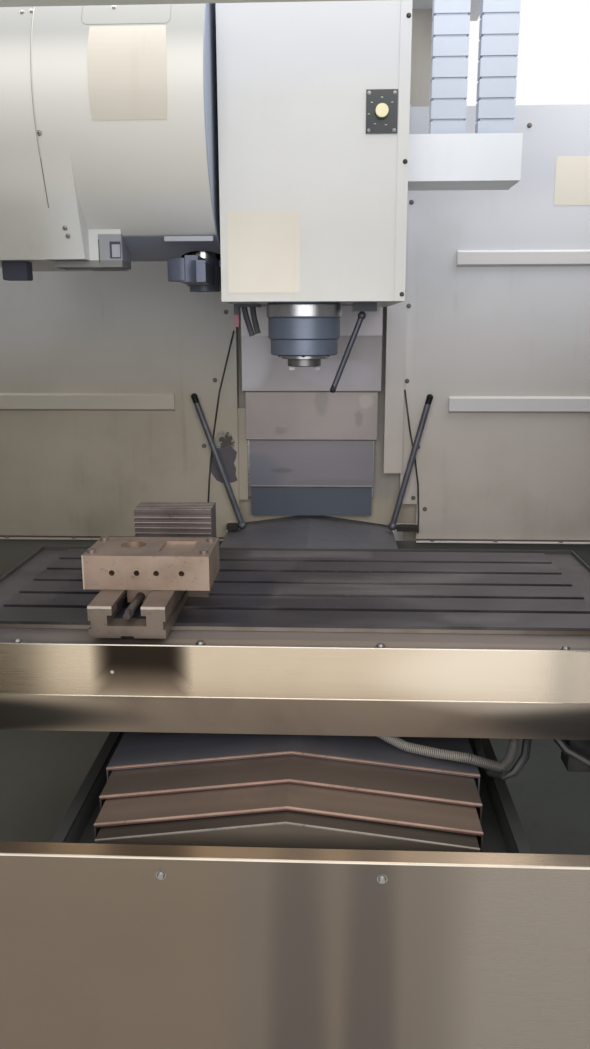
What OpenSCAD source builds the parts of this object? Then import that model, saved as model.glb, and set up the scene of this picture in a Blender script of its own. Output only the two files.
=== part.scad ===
// Vertical machining center with a telescopic way cover, a slotted table, an arm tool changer
// and a guarded enclosure that is open at the top. Millimetres, +Z up, +X to the operator's
// right, the operator stands on the -Y side. The origin is on the floor under the middle of
// the enclosure.

/* [Enclosure] */
// Width over the side walls
guard_w = 2700; // [2650:10:2900]
// Room between the bed's front and the front sill
sill_room = 95; // [60:5:160]
// Height of the side walls
guard_h = 2340; // [2300:10:2450]
// Thickness of the folded sheet panels
sheet_t = 3; // [2:0.5:4]
// Depth of the posts and the panel folds
fold_d = 40; // [30:5:60]
// Height of the front sill
sill_h = 800; // [780:5:810]
// Depth of the bright top fold of the sill
sill_lip = 36; // [30:2:60]
// Width of the operator's opening
door_w = 1250; // [1150:10:1270]
// Height of the underside of the lintel
lintel_z = 2070; // [2050:10:2100]
// Thickness of a sliding door
door_t = 28; // [20:1:32]
// Travel of each sliding door
door_travel = 590; // [500:10:600]

/* [Bed] */
// Height of the foot pads with their screws
foot_h = 60; // [50:5:70]
// Radius of a foot pad
foot_r = 60; // [45:5:75]
// Radius of the anchor holes
anchor_r = 13; // [9:1:16]
// Spacing of the anchor holes across the bed
anchor_dx = 1240; // [1200:10:1260]
// Spacing of the anchor holes along the bed
anchor_dy = 2060; // [2000:10:2100]
// Width of the bed under the way cover
bed_w = 860; // [840:10:900]
// Height of the guide face of the bed
bed_top = 640; // [630:1:646]
// Distance between the bed guide rails
y_gauge = 560; // [520:10:580]
// Width of a large guide rail
rail_w = 45; // [40:1:50]
// Height of a large guide rail
rail_h = 40; // [36:1:44]
// Running clearance of carriages, plates and guides
run_gap = 0.5; // [0.3:0.1:0.8]

/* [Table] */
// Length of the table
table_l = 1300; // [1280:10:1340]
// Width of the table
table_w = 600; // [590:5:620]
// Height of the table face above the floor
table_z = 1055; // [1050:1:1070]
// Thickness of the table
table_t = 98; // [90:1:104]
// Distance of the table's centre line from the spindle line at rest
table_back = 357; // [350:1:365]
// Number of T-slots
slot_n = 5; // [3:2:5]
// Pitch of the T-slots
slot_pitch = 100; // [90:5:110]
// Throat width of a T-slot
slot_w = 18; // [14:1:20]
// Head width of a T-slot
slot_head_w = 30; // [26:1:34]
// Depth of the throat of a T-slot
slot_throat = 18; // [14:1:24]
// Depth of the head of a T-slot
slot_head_h = 13; // [11:1:15]
// Width of the gutter in front of the table
gutter_w = 116; // [100:2:120]
// Distance of the tray's ends from the table
tray_end = 90; // [60:5:95]
// Height of the upright face of the apron
apron_h = 107; // [90:1:110]
// Depth of the slanted return of the apron
return_d = 60; // [40:2:70]
// Height of the slanted return of the apron
return_h = 106; // [100:2:108]

/* [Saddle] */
// Length of the saddle wings
saddle_l = 1600; // [1560:10:1640]
// Width of the saddle's upper casting
saddle_w = 520; // [500:10:540]
// Height of the underside of the saddle wings
wing_z = 845; // [842:1:850]
// Height of the saddle wings
wing_h = 60; // [56:1:62]
// Distance between the table guide rails
x_gauge = 400; // [380:10:410]
// Width of a table guide rail
x_rail_w = 35; // [30:1:40]
// Height of a table guide rail
x_rail_h = 36; // [32:1:40]

/* [Way covers] */
// Width of the widest front cover plate
cover_w = 750; // [740:2:756]
// Step in width from one plate to the next
cover_step = 24; // [20:1:26]
// Height of the front cover's ridge
cover_ridge = 828; // [826:1:832]
// Drop from the ridge to the side edges
cover_drop = 43; // [38:1:46]
// Thickness of a cover plate
cover_t = 3; // [2:0.5:3]
// Height of the side skirts
skirt_h = 90; // [80:5:100]
// Height step from one plate to the next
cover_nest = 6; // [5.5:0.5:7]
// Visible length of the second front plate
cover_show_2 = 99; // [90:1:105]
// Visible length of the third front plate
cover_show_3 = 85; // [80:1:90]
// Visible length of the last front plate
cover_show_4 = 40; // [38:1:46]
// Length of a moving front plate
cover_l = 305; // [300:1:308]
// Height of the rear roof's ridge
roof_ridge = 980; // [975:1:985]
// Width of the rear roof
roof_w = 590; // [580:5:600]
// Width of the widest upright cover plate
zc_w = 480; // [474:2:486]
// Step in width of the upright cover plates
zc_step = 22; // [20:1:24]
// Visible height of an upright cover plate
zc_show = 168; // [160:2:170]
// Height of the lower edge of the first upright plate
zc_edge = 1432; // [1428:1:1440]
// Full height of the second and third upright plates
zc_l = 295; // [292:1:296]

/* [Column] */
// Throat from the spindle line to the upright cover
throat = 669; // [665:1:675]
// Width of the column
column_w = 1000; // [980:10:1020]
// Depth of the column
column_d = 600; // [560:10:620]
// Height of the column top above the floor
column_top = 2640; // [2635:5:2700]
// Width of the arch through the column
arch_w = 670; // [660:5:680]
// Height of the arch
arch_z = 1010; // [1005:1:1015]
// Distance between the column guide rails
z_gauge = 400; // [380:10:410]
// Depth of the electrical cabinet behind the column
cabinet_d = 295; // [260:5:400]

/* [Head] */
// Distance from the front of the head cover to the spindle line
head_front = 140; // [135:1:150]
// Left face of the head cover
head_left = 201; // [190:1:202]
// Right face of the head cover
head_right = 252; // [245:1:260]
// Height of the lower edge of the head cover
head_z = 1715; // [1712:1:1718]
// Height of the head cover
head_h = 760; // [740:10:780]
// Radius of the bright spindle ring
ring_r = 98; // [94:1:100]
// Radius of the black spindle cap
cap_r = 95; // [90:1:96]
// Radius of the spindle nose
nose_r = 44.5; // [42:0.5:46]
// Distance from the head cover to the spindle nose face
nose_drop = 164; // [160:1:168]
// Large radius of the steep taper in the nose
taper_r = 22.225; // [20:0.005:24]
// Length of the steep taper
taper_l = 65.4; // [60:0.1:68]
// Radius of the bore behind the taper
drawbar_r = 12.5; // [10:0.5:13]

/* [Tool changer] */
// Radius of the magazine cover
drum_r = 351; // [345:1:356]
// Height of the magazine axis
drum_z = 2180; // [2170:1:2190]
// Right face of the magazine cover
drum_right = 215; // [213:1:220]
// Left face of the magazine cover
drum_left = 860; // [850:5:900]
// Number of tool pots
pot_n = 24; // [20:1:24]
// Radius of a tool pot
pot_r = 26; // [22:1:27]
// Half length of the change arm
arm_reach = 274; // [270:1:278]
// Height of the change arm's middle
arm_z = 1790; // [1785:1:1795]

/* [Vise] */
// Middle of the vise across the table
vise_x = -325; // [-335:1:-300]
// Width of the vise base
vise_w = 154; // [150:1:158]
// Height of the vise base
vise_h = 65; // [62:1:68]
// Length of the vise base
vise_l = 520; // [500:5:540]
// Width of the front jaw block
jaw_w = 265; // [250:1:270]
// Depth of the front jaw block
jaw_d = 165; // [150:1:170]
// Height of the front jaw block
jaw_h = 73; // [70:1:76]
// Overhang of the vise base beyond the table edge
vise_over = 93; // [85:1:100]

/* [Hidden] */

// Smoothness of round forms
$fn = 48;
// Distance of the spindle line from the middle of the enclosure
spindle_y = -175;
// Middle of the table
table_y = spindle_y - table_back;
// Front edge of the table
table_front = table_y - table_w / 2;
// Rear edge of the table
table_rear = table_y + table_w / 2;
// Front lip of the gutter
gutter_y = table_front - gutter_w;
// Front edges of the four front cover plates
cover_y = [
    gutter_y,
    gutter_y - cover_show_2,
    gutter_y - cover_show_2 - cover_show_3,
    gutter_y - cover_show_2 - cover_show_3 - cover_show_4
];
// Rear end of the first cover plate, where it is screwed to the saddle
saddle_front = cover_y[0] + cover_l;
// Rear of the saddle
saddle_rear = table_rear + 102;
// Front of the riser that carries the rear roof
riser_y = saddle_rear - 42;
// Front face of the upright cover
zc_y = spindle_y + throat;
// Front of the column
column_y = zc_y + 56;
// Rear of the column
column_back = column_y + column_d - 125;
// Front of the bed
bed_front = cover_y[3];
// Rear of the bed
bed_back = column_back + 140;
// Rear end of the bed guide rails
y_rail_back = bed_back - 20;
// Undersides of the castings that run on the bed rails
saddle_z = bed_top + rail_h + 12;
// Underside of the table
table_under = table_z - table_t;
// Top of the saddle wings
wing_top = wing_z + wing_h;
// Height of the feet of the bed's outriggers
outrigger_h = 80;
// Height of the chip pan floor
pan_z = foot_h + outrigger_h + 10;
// Height of the fold of the pan beside the bed
pan_fold_z = bed_top + 60;
// Inner face of the side walls
wall_x = guard_w / 2 - sheet_t;
// Front plane of the sill
sill_y = bed_front - sill_room;
// Front plane of the fascia
fascia_y = sill_y - 33;
// Rear plane of the guard
guard_back = zc_y + 60;
// Rear face of the machine
machine_back = column_back + cabinet_d;
// Radius of a ball screw
screw_r = 18;
// Height of the ball screw axis in the bed
y_screw_z = bed_top - 50;
// Height of the ball screw axis in the saddle
x_screw_z = wing_top + 14;
// Lower end of the carriage of the head
carriage_z = head_z + 15;
// Height of the carriage of the head
carriage_h = 600;
// Distance of the column rails' front from the upright cover
rail_front = column_y - rail_h;
// Nose face of the spindle
nose_z = head_z - nose_drop;

// Width of the well for the bed's ball screw
screw_well = 150;
// Width of the well in the column
well_w = 180;
// Middle of the anchor pattern along the bed
anchor_mid = (bed_front + bed_back) / 2;
// Radius of the table's ball screw
x_screw_r = 12;
// Clearance of a shaft in its bearing
bearing_gap = 0.05;
// Lower end of the column ball screw
z_screw_low = arch_z + 130;
// Axis of the column ball screw
z_screw_y = column_y + 40;
// Radius of the spindle shaft
shaft_r = 50;
// Side edges of the rear roof
roof_side = roof_ridge - 43;
// Front face of the vise base
vise_y = table_front - vise_over;
// Front face of the front jaw
front_jaw_y = table_front + 17;
// Front face of the rear jaw
rear_jaw_y = table_front + 327;
// Width of the guide gap of the vise
vise_gap = 58;
// Radius of the vise screw
vise_screw_r = 9;
// Height of the vise screw
vise_screw_z = table_z + vise_h - 20;
// Places of the holes in the front face of the jaw, from its middle
jaw_holes = [-71, -19, 22, 75];
// Middle of the unclamp button
button_z = 2147;
// Front face of the button plate
button_y = spindle_y - head_front;
// Place of the nozzle's swivel under the head
nozzle_from = [152, spindle_y, head_z - 33.3];
// Tip of the nozzle
nozzle_to = [77, spindle_y, head_z - 227];
// Height of the chain bracket
bracket_z = head_z + 297;
// Right end of the chain bracket
bracket_x = 545;
// Height of the arm that holds the upper ends of the chains
chain_top = column_top;
// Axis of the magazine along Y
drum_y = spindle_y + 98;
// Place of the change arm's axis
arm_x = -270;
arm_y = spindle_y + 49;
// Sides of the cam box beam
beam_x0 = 258;
beam_x1 = 345;
// Underside and height of the cam box beam
beam_z = drum_z - 286;
beam_h = 190;
// Middle of the pots along X
pot_x = -540;
// Radius of the ring of pots
pot_ring = drum_r - 66;
// Radius of the magazine shaft
magazine_shaft_r = 30;
// Radius of the sleeve that lowers the change arm
sleeve_r = 34;
// Radius of the change arm's shaft
arm_shaft_r = 20;
// Lower edge of the rear panels
panel_z = 905;
// Places of the wash pipes' swivels
pipe_y = zc_y - 42;
pipe_z = 968;
pipe_left_x = -240;
pipe_right_x = 290;
// Radius of a wash pipe's ball
pipe_ball_r = 15;
// Radius of a wash pipe
pipe_r = 10.5;
// Distance between the upright plates, front to back
upright_nest = 3.4;
// Travel of the head below the rest position
head_down = 350;
// Top of the screen over the arch of the column
screen_top = 1050;
// Offset of the upright plates to the right
cover_off = 3;
// Front face of the saddle wings
wing_front = table_y - saddle_w / 2;
// Radius of the wires on the rear panels
wire_r = 3;
// Routes of the wires on the rear panels
wire_left = [
    [-262, zc_y - 3.4, 1640], [-285, zc_y - 3.4, 1550], [-316, zc_y - 3.4, 1432],
    [-342, zc_y - 3.4, 1270], [-358, zc_y - 3.4, 1130], [-366, zc_y - 3.4, 1019]
];
wire_right = [
    [324, zc_y - 3.4, 1441], [345, zc_y - 3.4, 1303], [366, zc_y - 3.4, 1200],
    [379, zc_y - 3.4, 1110], [384, zc_y - 3.4, 1000], [384, zc_y - 3.4, 935]
];
// Routes of the hoses under the front of the table
hose_light = [
    [128, wing_front, 872], [128, -826, 872], [140, -852, 852], [188, -868, 828], [232, -886, 813],
    [290, -902, 808], [359, -915, 804], [400, -915, 791], [424, -912, 784], [442, -897, 794],
    [454, -874, 812], [460, -850, 840], [462, -822, 868], [462, wing_front, 868]
];
hose_dark = [
    [489, wing_front, 868], [489, -826, 868], [486, -858, 832], [476, -886, 796], [452, -900, 766],
    [430, -900, 758], [408, -880, 756], [398, -840, 758], [397, -780, 770], [398, -700, 790],
    [398, -642, 790]
];
hose_right = [
    [520, wing_front, 878], [520, -824, 878], [530, -856, 842], [560, -885, 810], [602, -905, 792],
    [650, -905, 776], [696, -890, 772], [724, -866, 790], [744, -828, 876], [744, wing_front, 876]
];
// Plane of the doors
door_y = fascia_y + 36;
// Top of the doors
door_top = lintel_z + 36;
// Inner edge of an open door
half_open = door_travel + 2;
// Width of a door panel
door_panel_w = wall_x - half_open - 115;
// Left edge, width, lower edge and height of the control box
console_x = wall_x - 567;
console_w = 420;
console_z = 1160;
console_h = 640;
// Place of the stop button on the control box
stop_x = console_x + 340;
stop_z = console_z + 70;
// Underside of the electrical cabinet
cabinet_z = arch_z + 50;

// A block from its lowest corner to its highest corner
module block(lo, hi) {
    translate(lo)
        cube(hi - lo);
}

// A round bar between two heights
module post(x, y, z0, z1, r) {
    translate([x, y, z0])
        cylinder(r = r, h = z1 - z0);
}

// A round bar along X
module bar_x(x0, x1, y, z, r) {
    translate([x0, y, z])
        rotate([0, 90, 0])
            cylinder(r = r, h = x1 - x0);
}

// A round bar along Y
module bar_y(x, y0, y1, z, r) {
    translate([x, y0, z])
        rotate([-90, 0, 0])
            cylinder(r = r, h = y1 - y0);
}

// A profile drawn as [x, z] points, swept along Y
module along_y(y0, y1) {
    translate([0, y1, 0])
        rotate([90, 0, 0])
            linear_extrude(height = y1 - y0)
                children();
}

// A profile drawn as [y, z] points, swept along X
module along_x(x0, x1) {
    translate([x0, 0, 0])
        rotate([90, 0, 90])
            linear_extrude(height = x1 - x0)
                children();
}

// The same thing on both sides of the middle
module both_sides() {
    children();
    mirror([1, 0, 0])
        children();
}

// A socket head screw that stands up on a face
module cap_screw(at, r, h) {
    translate(at)
        difference() {
            cylinder(r = r, h = h);
            translate([0, 0, h * 0.45])
                cylinder(r = r * 0.5, h = h, $fn = 6);
        }
}

// A folded strip with a constant thickness along a list of [x, z] points
function fold_side(p, i, t) =
    let (a = p[max(i - 1, 0)])
    let (b = p[i])
    let (c = p[min(i + 1, len(p) - 1)])
    let (d1 = i == 0 ? (c - b) / norm(c - b) : (b - a) / norm(b - a))
    let (d2 = i == len(p) - 1 ? d1 : (c - b) / norm(c - b))
    let (n1 = [-d1[1], d1[0]])
    let (n2 = [-d2[1], d2[0]])
    let (m = (n1 + n2) / (1 + n1 * n2))
    b + m * t;

module folded(p, t) {
    last = len(p) - 1;
    polygon(concat(p, [for (i = [0 : last]) fold_side(p, last - i, t)]));
}

// Bed, its guide rails and its drive

module bed_pocket(y0, y1) {
    block([bed_w / 2 - 60, y0, foot_h + 110], [bed_w / 2 + 1, y1, bed_top - 110]);
}

module outrigger(y) {
    difference() {
        block([bed_w / 2 - 1, y - 90, foot_h], [anchor_dx / 2 + 70, y + 90, foot_h + outrigger_h]);
        post(anchor_dx / 2, y, foot_h - 1, foot_h + outrigger_h + 1, anchor_r);
    }
}

module screw_bearing(y) {
    difference() {
        block([-screw_well / 2, y, y_screw_z - 60], [screw_well / 2, y + 52, y_screw_z + 46]);
        bar_y(0, y - 1, y + 53, y_screw_z, screw_r + bearing_gap);
    }
}

module base_casting() {
    color("dimgray") {
        difference() {
            union() {
                block([-bed_w / 2, bed_front + 3, foot_h], [bed_w / 2, bed_back, bed_top]);
                block([-column_w / 2, column_y - 20, foot_h], [column_w / 2, bed_back, bed_top]);
                both_sides() {
                    outrigger(anchor_mid - anchor_dy / 2);
                    outrigger(anchor_mid + anchor_dy / 2);
                }
            }
            block(
                [-screw_well / 2, bed_front + 60, y_screw_z - 60],
                [screw_well / 2, bed_back + 1, bed_top + 1]
            );
            both_sides() {
                bed_pocket(bed_front + 60, bed_front + 420);
                bed_pocket(bed_front + 480, bed_front + 840);
                bed_pocket(bed_front + 900, bed_front + 1260);
            }
        }
        screw_bearing(bed_front + 100);
        screw_bearing(bed_back - 110);
    }
}

module foot(x, y) {
    post(x, y, 0, foot_h * 0.4, foot_r);
    translate([x, y, foot_h * 0.4])
        cylinder(r1 = foot_r * 0.7, r2 = foot_r * 0.4, h = foot_h * 0.3);
    post(x, y, foot_h * 0.7, foot_h, foot_r * 0.36);
}

module levelling_feet() {
    color("gray") {
        for (x = [-1, 1]) {
            for (y = [-0.4, 0, 0.4]) {
                foot(x * bed_w * 0.4, anchor_mid + y * anchor_dy);
            }
        }
    }
}

module chip_pan() {
    fold = bed_w / 2 + 24;
    foot_x = anchor_dx / 2 + 20;
    outer = wall_x - sheet_t;
    color("dimgray") {
        both_sides() {
            along_y(sill_y + sheet_t, zc_y + 3) {
                folded([
                    [bed_w / 2, bed_top - 60],
                    [bed_w / 2, pan_fold_z],
                    [fold, pan_fold_z],
                    [foot_x, pan_z],
                    [outer, pan_z],
                    [outer, pan_z + 120]
                ], -sheet_t);
            }
            along_y(zc_y, zc_y + sheet_t)
                polygon([
                    [roof_w / 2 + 11, bed_top + 1], [roof_w / 2 + 11, panel_z],
                    [outer, panel_z], [outer, pan_z - sheet_t], [foot_x, pan_z - sheet_t],
                    [bed_w / 2 + 1, bed_top + 1]
                ]);
        }
    }
}

module rail(len) {
    h = rail_h;
    w = rail_w;
    linear_extrude(height = len)
        polygon([
            [-w / 2, 0], [w / 2, 0], [w / 2, h * 0.4], [w * 0.36, h * 0.55],
            [w * 0.36, h * 0.7], [w / 2, h * 0.82], [w / 2, h],
            [-w / 2, h], [-w / 2, h * 0.82], [-w * 0.36, h * 0.7],
            [-w * 0.36, h * 0.55], [-w / 2, h * 0.4]
        ]);
}

module way_rails() {
    color("silver") {
        both_sides() {
            translate([y_gauge / 2, y_rail_back, bed_top])
                rotate([90, 0, 0])
                    rail(y_rail_back - bed_front - 30);
            translate([z_gauge / 2, column_y, bed_top + 420])
                rail_upright();
        }
    }
}

module rail_upright() {
    rotate([0, 0, 180])
        rail(column_top - bed_top - 440);
}

module y_ball_screw() {
    color("silver") {
        bar_y(0, bed_front + 110, bed_back - 60, y_screw_z, screw_r);
    }
}

module servo(h, w) {
    translate([-w / 2, -w / 2, 0])
        cube([w, w, h * 0.15]);
    translate([0, 0, h * 0.15])
        cylinder(r = w * 0.47, h = h * 0.6);
    translate([0, 0, h * 0.75])
        cylinder(r = w * 0.38, h = h * 0.25);
}

module axis_motors() {
    color("dimgray") {
        translate([0, bed_back - 58, y_screw_z])
            rotate([-90, 0, 0])
                servo(150, 110);
        translate([0, z_screw_y - 40, column_top + 26])
            servo(250, 150);
        difference() {
            block([-90, z_screw_y - 130, column_top], [90, column_y + 160, column_top + 26]);
            post(0, z_screw_y, column_top - 1, column_top + 27, screw_r + 4);
        }
    }
}

// Saddle, its guide rails and its drive

module rail_room(len) {
    g = run_gap;
    translate([-rail_w / 2 - g, -1, 0])
        cube([rail_w + 2 * g, rail_h + 1 + g, len]);
}

module saddle_casting() {
    base_x = cover_w / 2 + 3;
    wing_y0 = table_y - saddle_w / 2;
    wing_y1 = table_y + saddle_w / 2;
    shoe_x = y_gauge / 2;
    color("gray") {
        difference() {
            union() {
                block([-base_x, saddle_front, saddle_z], [base_x, saddle_rear, wing_z]);
                both_sides()
                    block(
                        [shoe_x - 50, saddle_front, bed_top + 12],
                        [shoe_x + 50, saddle_rear, saddle_z + 1]
                    );
                along_y(wing_y0, wing_y1)
                    polygon([
                        [-saddle_l / 2, wing_z + 20], [-base_x - 120, wing_z],
                        [base_x + 120, wing_z], [saddle_l / 2, wing_z + 20],
                        [saddle_l / 2, wing_top], [-saddle_l / 2, wing_top]
                    ]);
                both_sides()
                    block(
                        [base_x - 1, wing_y0 + 150, wing_z - 70],
                        [base_x + 50, wing_y1 - 20, wing_z + 1]
                    );
                block([-roof_w / 2 + 6, riser_y, wing_z - 1], [roof_w / 2 - 6, saddle_rear, roof_side]);
                block([-45, table_y + 90, y_screw_z - 42], [45, table_y + 190, saddle_z + 1]);
                both_sides()
                    block(
                        [saddle_l / 2 - 60, table_y - 36, wing_top - 1],
                        [saddle_l / 2, table_y + 36, x_screw_z + 18]
                    );
            }
            both_sides()
                translate([y_gauge / 2, saddle_rear + 1, bed_top])
                    rotate([90, 0, 0])
                        rail_room(saddle_rear - saddle_front + 2);
            bar_y(0, table_y + 89, table_y + 191, y_screw_z, screw_r + run_gap);
            bar_x(
                -saddle_l / 2 - 1, saddle_l / 2 + 1, table_y, x_screw_z,
                x_screw_r + bearing_gap
            );
            block([-200, saddle_front - 1, saddle_z - 1], [200, table_y + 60, saddle_z + 60]);
        }
    }
}

module x_rail(len) {
    h = x_rail_h;
    w = x_rail_w;
    linear_extrude(height = len)
        polygon([
            [-w / 2, 0], [w / 2, 0], [w / 2, h * 0.4], [w * 0.36, h * 0.55],
            [w * 0.36, h * 0.7], [w / 2, h * 0.82], [w / 2, h],
            [-w / 2, h], [-w / 2, h * 0.82], [-w * 0.36, h * 0.7],
            [-w * 0.36, h * 0.55], [-w / 2, h * 0.4]
        ]);
}

module x_rails() {
    color("silver") {
        for (side = [-1, 1]) {
            translate([-saddle_l / 2 + 10, table_y + side * x_gauge / 2, wing_top])
                rotate([90, 0, 90])
                    x_rail(saddle_l - 20);
        }
    }
}

module x_ball_screw() {
    color("silver") {
        bar_x(-saddle_l / 2 + 5, saddle_l / 2 - 5, table_y, x_screw_z, x_screw_r);
    }
}

module x_servo_motor() {
    color("dimgray") {
        translate([saddle_l / 2, table_y, x_screw_z])
            rotate([0, 90, 0])
                servo(150, 62);
    }
}

// Table with its slots and carriages, the tray round it and the apron

module t_slot(y) {
    head_z = table_z - slot_throat - slot_head_h;
    polygon([
        [y - slot_w / 2, table_z + 1], [y - slot_w / 2, table_z - slot_throat],
        [y - slot_head_w / 2, table_z - slot_throat], [y - slot_head_w / 2, head_z],
        [y + slot_head_w / 2, head_z], [y + slot_head_w / 2, table_z - slot_throat],
        [y + slot_w / 2, table_z - slot_throat], [y + slot_w / 2, table_z + 1]
    ]);
}

function slot_y(i) = table_y + (i - (slot_n - 1) / 2) * slot_pitch;

module table() {
    shoe_y = x_gauge / 2;
    color("dimgray") {
        difference() {
            union() {
                along_x(-table_l / 2, table_l / 2)
                    difference() {
                        translate([table_front, table_under])
                            square([table_w, table_t]);
                        for (i = [0 : slot_n - 1])
                            t_slot(slot_y(i));
                    }
                for (x = [-200, 200]) {
                    for (side = [-1, 1]) {
                        block(
                            [x - 45, table_y + side * shoe_y - 40, wing_top + 8],
                            [x + 45, table_y + side * shoe_y + 40, table_under + 1]
                        );
                    }
                }
                block([-45, table_y - 26, wing_top + 1], [45, table_y + 26, table_under + 1]);
            }
            for (side = [-1, 1]) {
                block(
                    [-260, table_y + side * shoe_y - x_rail_w / 2 - run_gap, wing_top - 1],
                    [260, table_y + side * shoe_y + x_rail_w / 2 + run_gap, wing_top + x_rail_h + run_gap]
                );
            }
            bar_x(-46, 46, table_y, x_screw_z, x_screw_r + run_gap);
        }
    }
}

module table_trough() {
    x1 = table_l / 2 + tray_end;
    y0 = gutter_y;
    y1 = table_rear + 50;
    z0 = table_z - 15;
    top = table_z - 5;
    color("gray") {
        difference() {
            block([-x1, y0, z0 - sheet_t], [x1, y1, top]);
            block([-x1 + sheet_t, y0 + sheet_t, z0], [x1 - sheet_t, y1 - sheet_t, top + 1]);
            block([-table_l / 2, table_front, z0 - sheet_t - 1], [table_l / 2, table_rear, top + 1]);
        }
    }
}

module table_apron() {
    x1 = table_l / 2 + tray_end + sheet_t;
    z1 = table_z - 5;
    z0 = z1 - apron_h;
    color("tan") {
        along_x(-x1, x1)
            folded([
                [gutter_y - sheet_t, z1],
                [gutter_y - sheet_t, z0],
                [gutter_y - sheet_t + return_d, z0 - return_h]
            ], sheet_t);
    }
}

// Vise on the table

module vise_profile() {
    half = vise_w / 2;
    z1 = table_z + vise_h;
    difference() {
        translate([-half, table_z])
            square([vise_w, vise_h]);
        translate([-vise_gap / 2, z1 - 19])
            square([vise_gap, 20]);
        translate([-vise_gap / 2 - 10, z1 - 40])
            square([vise_gap + 20, 21.5]);
        for (side = [-1, 1])
            translate([side * half - 5, table_z + 18])
                square([10, 17]);
        translate([-13, table_z - 1])
            square([26, 5]);
    }
}

module vise_clamp() {
    half = vise_w / 2;
    block([half, -22, table_z], [half + 46, 22, table_z + 30]);
    block([half - 4.5, -22, table_z + 19], [half + 1, 22, table_z + 30]);
    cap_screw([half + 24, 0, table_z + 29], 11, 15);
}

module vise_body() {
    color("tan") {
        translate([vise_x, 0, 0])
            along_y(vise_y, vise_y + vise_l)
                vise_profile();
    }
    color("silver") {
        translate([vise_x, slot_y(1), 0]) {
            vise_clamp();
            mirror([1, 0, 0])
                vise_clamp();
        }
    }
}

module vise_rear_jaw() {
    x0 = vise_x - 75;
    x1 = vise_x + 112;
    y0 = rear_jaw_y;
    z0 = table_z + vise_h;
    color("gray") {
        difference() {
            union() {
                block([x0, y0, z0], [x1, y0 + 85, z0 + 107]);
                block(
                    [vise_x - vise_gap / 2 + 0.5, y0, z0 - 34],
                    [vise_x + vise_gap / 2 - 0.5, y0 + 85, z0 + 1]
                );
            }
            for (i = [0 : 4])
                block([x0 - 1, y0 - 1, z0 + 42 + i * 13], [x1 + 1, y0 + 6, z0 + 47 + i * 13]);
            for (i = [0 : 3])
                block([x0 - 1, y0 + 12 + i * 18, z0 + 101], [x1 + 1, y0 + 19 + i * 18, z0 + 108]);
            bar_y(vise_x, y0 - 1, y0 + 60, vise_screw_z, vise_screw_r + bearing_gap);
        }
    }
}

module vise_front_jaw() {
    y0 = front_jaw_y;
    z0 = table_z + vise_h + run_gap;
    z1 = z0 + jaw_h;
    jaw_x = vise_x + 17;
    half = jaw_w / 2;
    color("tan") {
        difference() {
            union() {
                block([jaw_x - half, y0, z0], [jaw_x + half, y0 + jaw_d, z1]);
                block(
                    [vise_x - vise_gap / 2 + 0.5, y0 + 20, z0 - 34],
                    [vise_x + vise_gap / 2 - 0.5, y0 + jaw_d - 20, z0 + 1]
                );
            }
            bar_y(vise_x, y0 - 1, y0 + jaw_d + 1, vise_screw_z, vise_screw_r + run_gap);
            for (p = jaw_holes)
                bar_y(jaw_x + p, y0 - 1, y0 + 32, z0 + 36, 6);
            post(jaw_x - 45, y0 + 95, z1 - 12, z1 + 1, 27);
            translate([jaw_x + 20, y0 + 40, z1 - 6])
                cube([70, 90, 10]);
        }
    }
    color("silver") {
        for (x = [-1, 1])
            for (y = [28, jaw_d - 32])
                cap_screw([jaw_x + x * (half - 14), y0 + y, z1], 9, 7);
    }
}

module vise_screw() {
    color("silver") {
        bar_y(vise_x, vise_y + 22, rear_jaw_y + 50, vise_screw_z, vise_screw_r);
        translate([vise_x, vise_y + 2, vise_screw_z])
            rotate([-90, 0, 0])
                cylinder(r = vise_screw_r * 0.85, h = 24, $fn = 6);
    }
}

// Column with its well for the ball screw and its arch over the way cover

module column_casting() {
    half = column_w / 2;
    color("gray") {
        difference() {
            block([-half, column_y, bed_top], [half, column_back, column_top]);
            block([-arch_w / 2, column_y - 1, bed_top - 1], [arch_w / 2, column_back + 1, arch_z]);
            block([-well_w / 2, column_y - 1, bed_top], [well_w / 2, column_y + 100, column_top + 1]);
            both_sides() {
                for (i = [0 : 2]) {
                    z = arch_z + 90 + i * 520;
                    block([half - 40, column_y + 70, z], [half + 1, column_back - 70, z + 440]);
                }
            }
        }
        difference() {
            block(
                [-well_w / 2, column_y + 2, z_screw_low - 80],
                [well_w / 2, column_y + 101, z_screw_low + 20]
            );
            post(0, z_screw_y, z_screw_low - 81, z_screw_low + 21, screw_r + bearing_gap);
        }
        difference() {
            block([-well_w / 2, column_y + 2, column_top - 50], [well_w / 2, column_y + 101, column_top]);
            post(0, z_screw_y, column_top - 51, column_top + 1, screw_r + bearing_gap);
        }
    }
}

module z_ball_screw() {
    color("silver") {
        post(0, z_screw_y, z_screw_low - 60, column_top + 22, screw_r);
    }
}

// Head with its cover, spindle and nozzle

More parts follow.
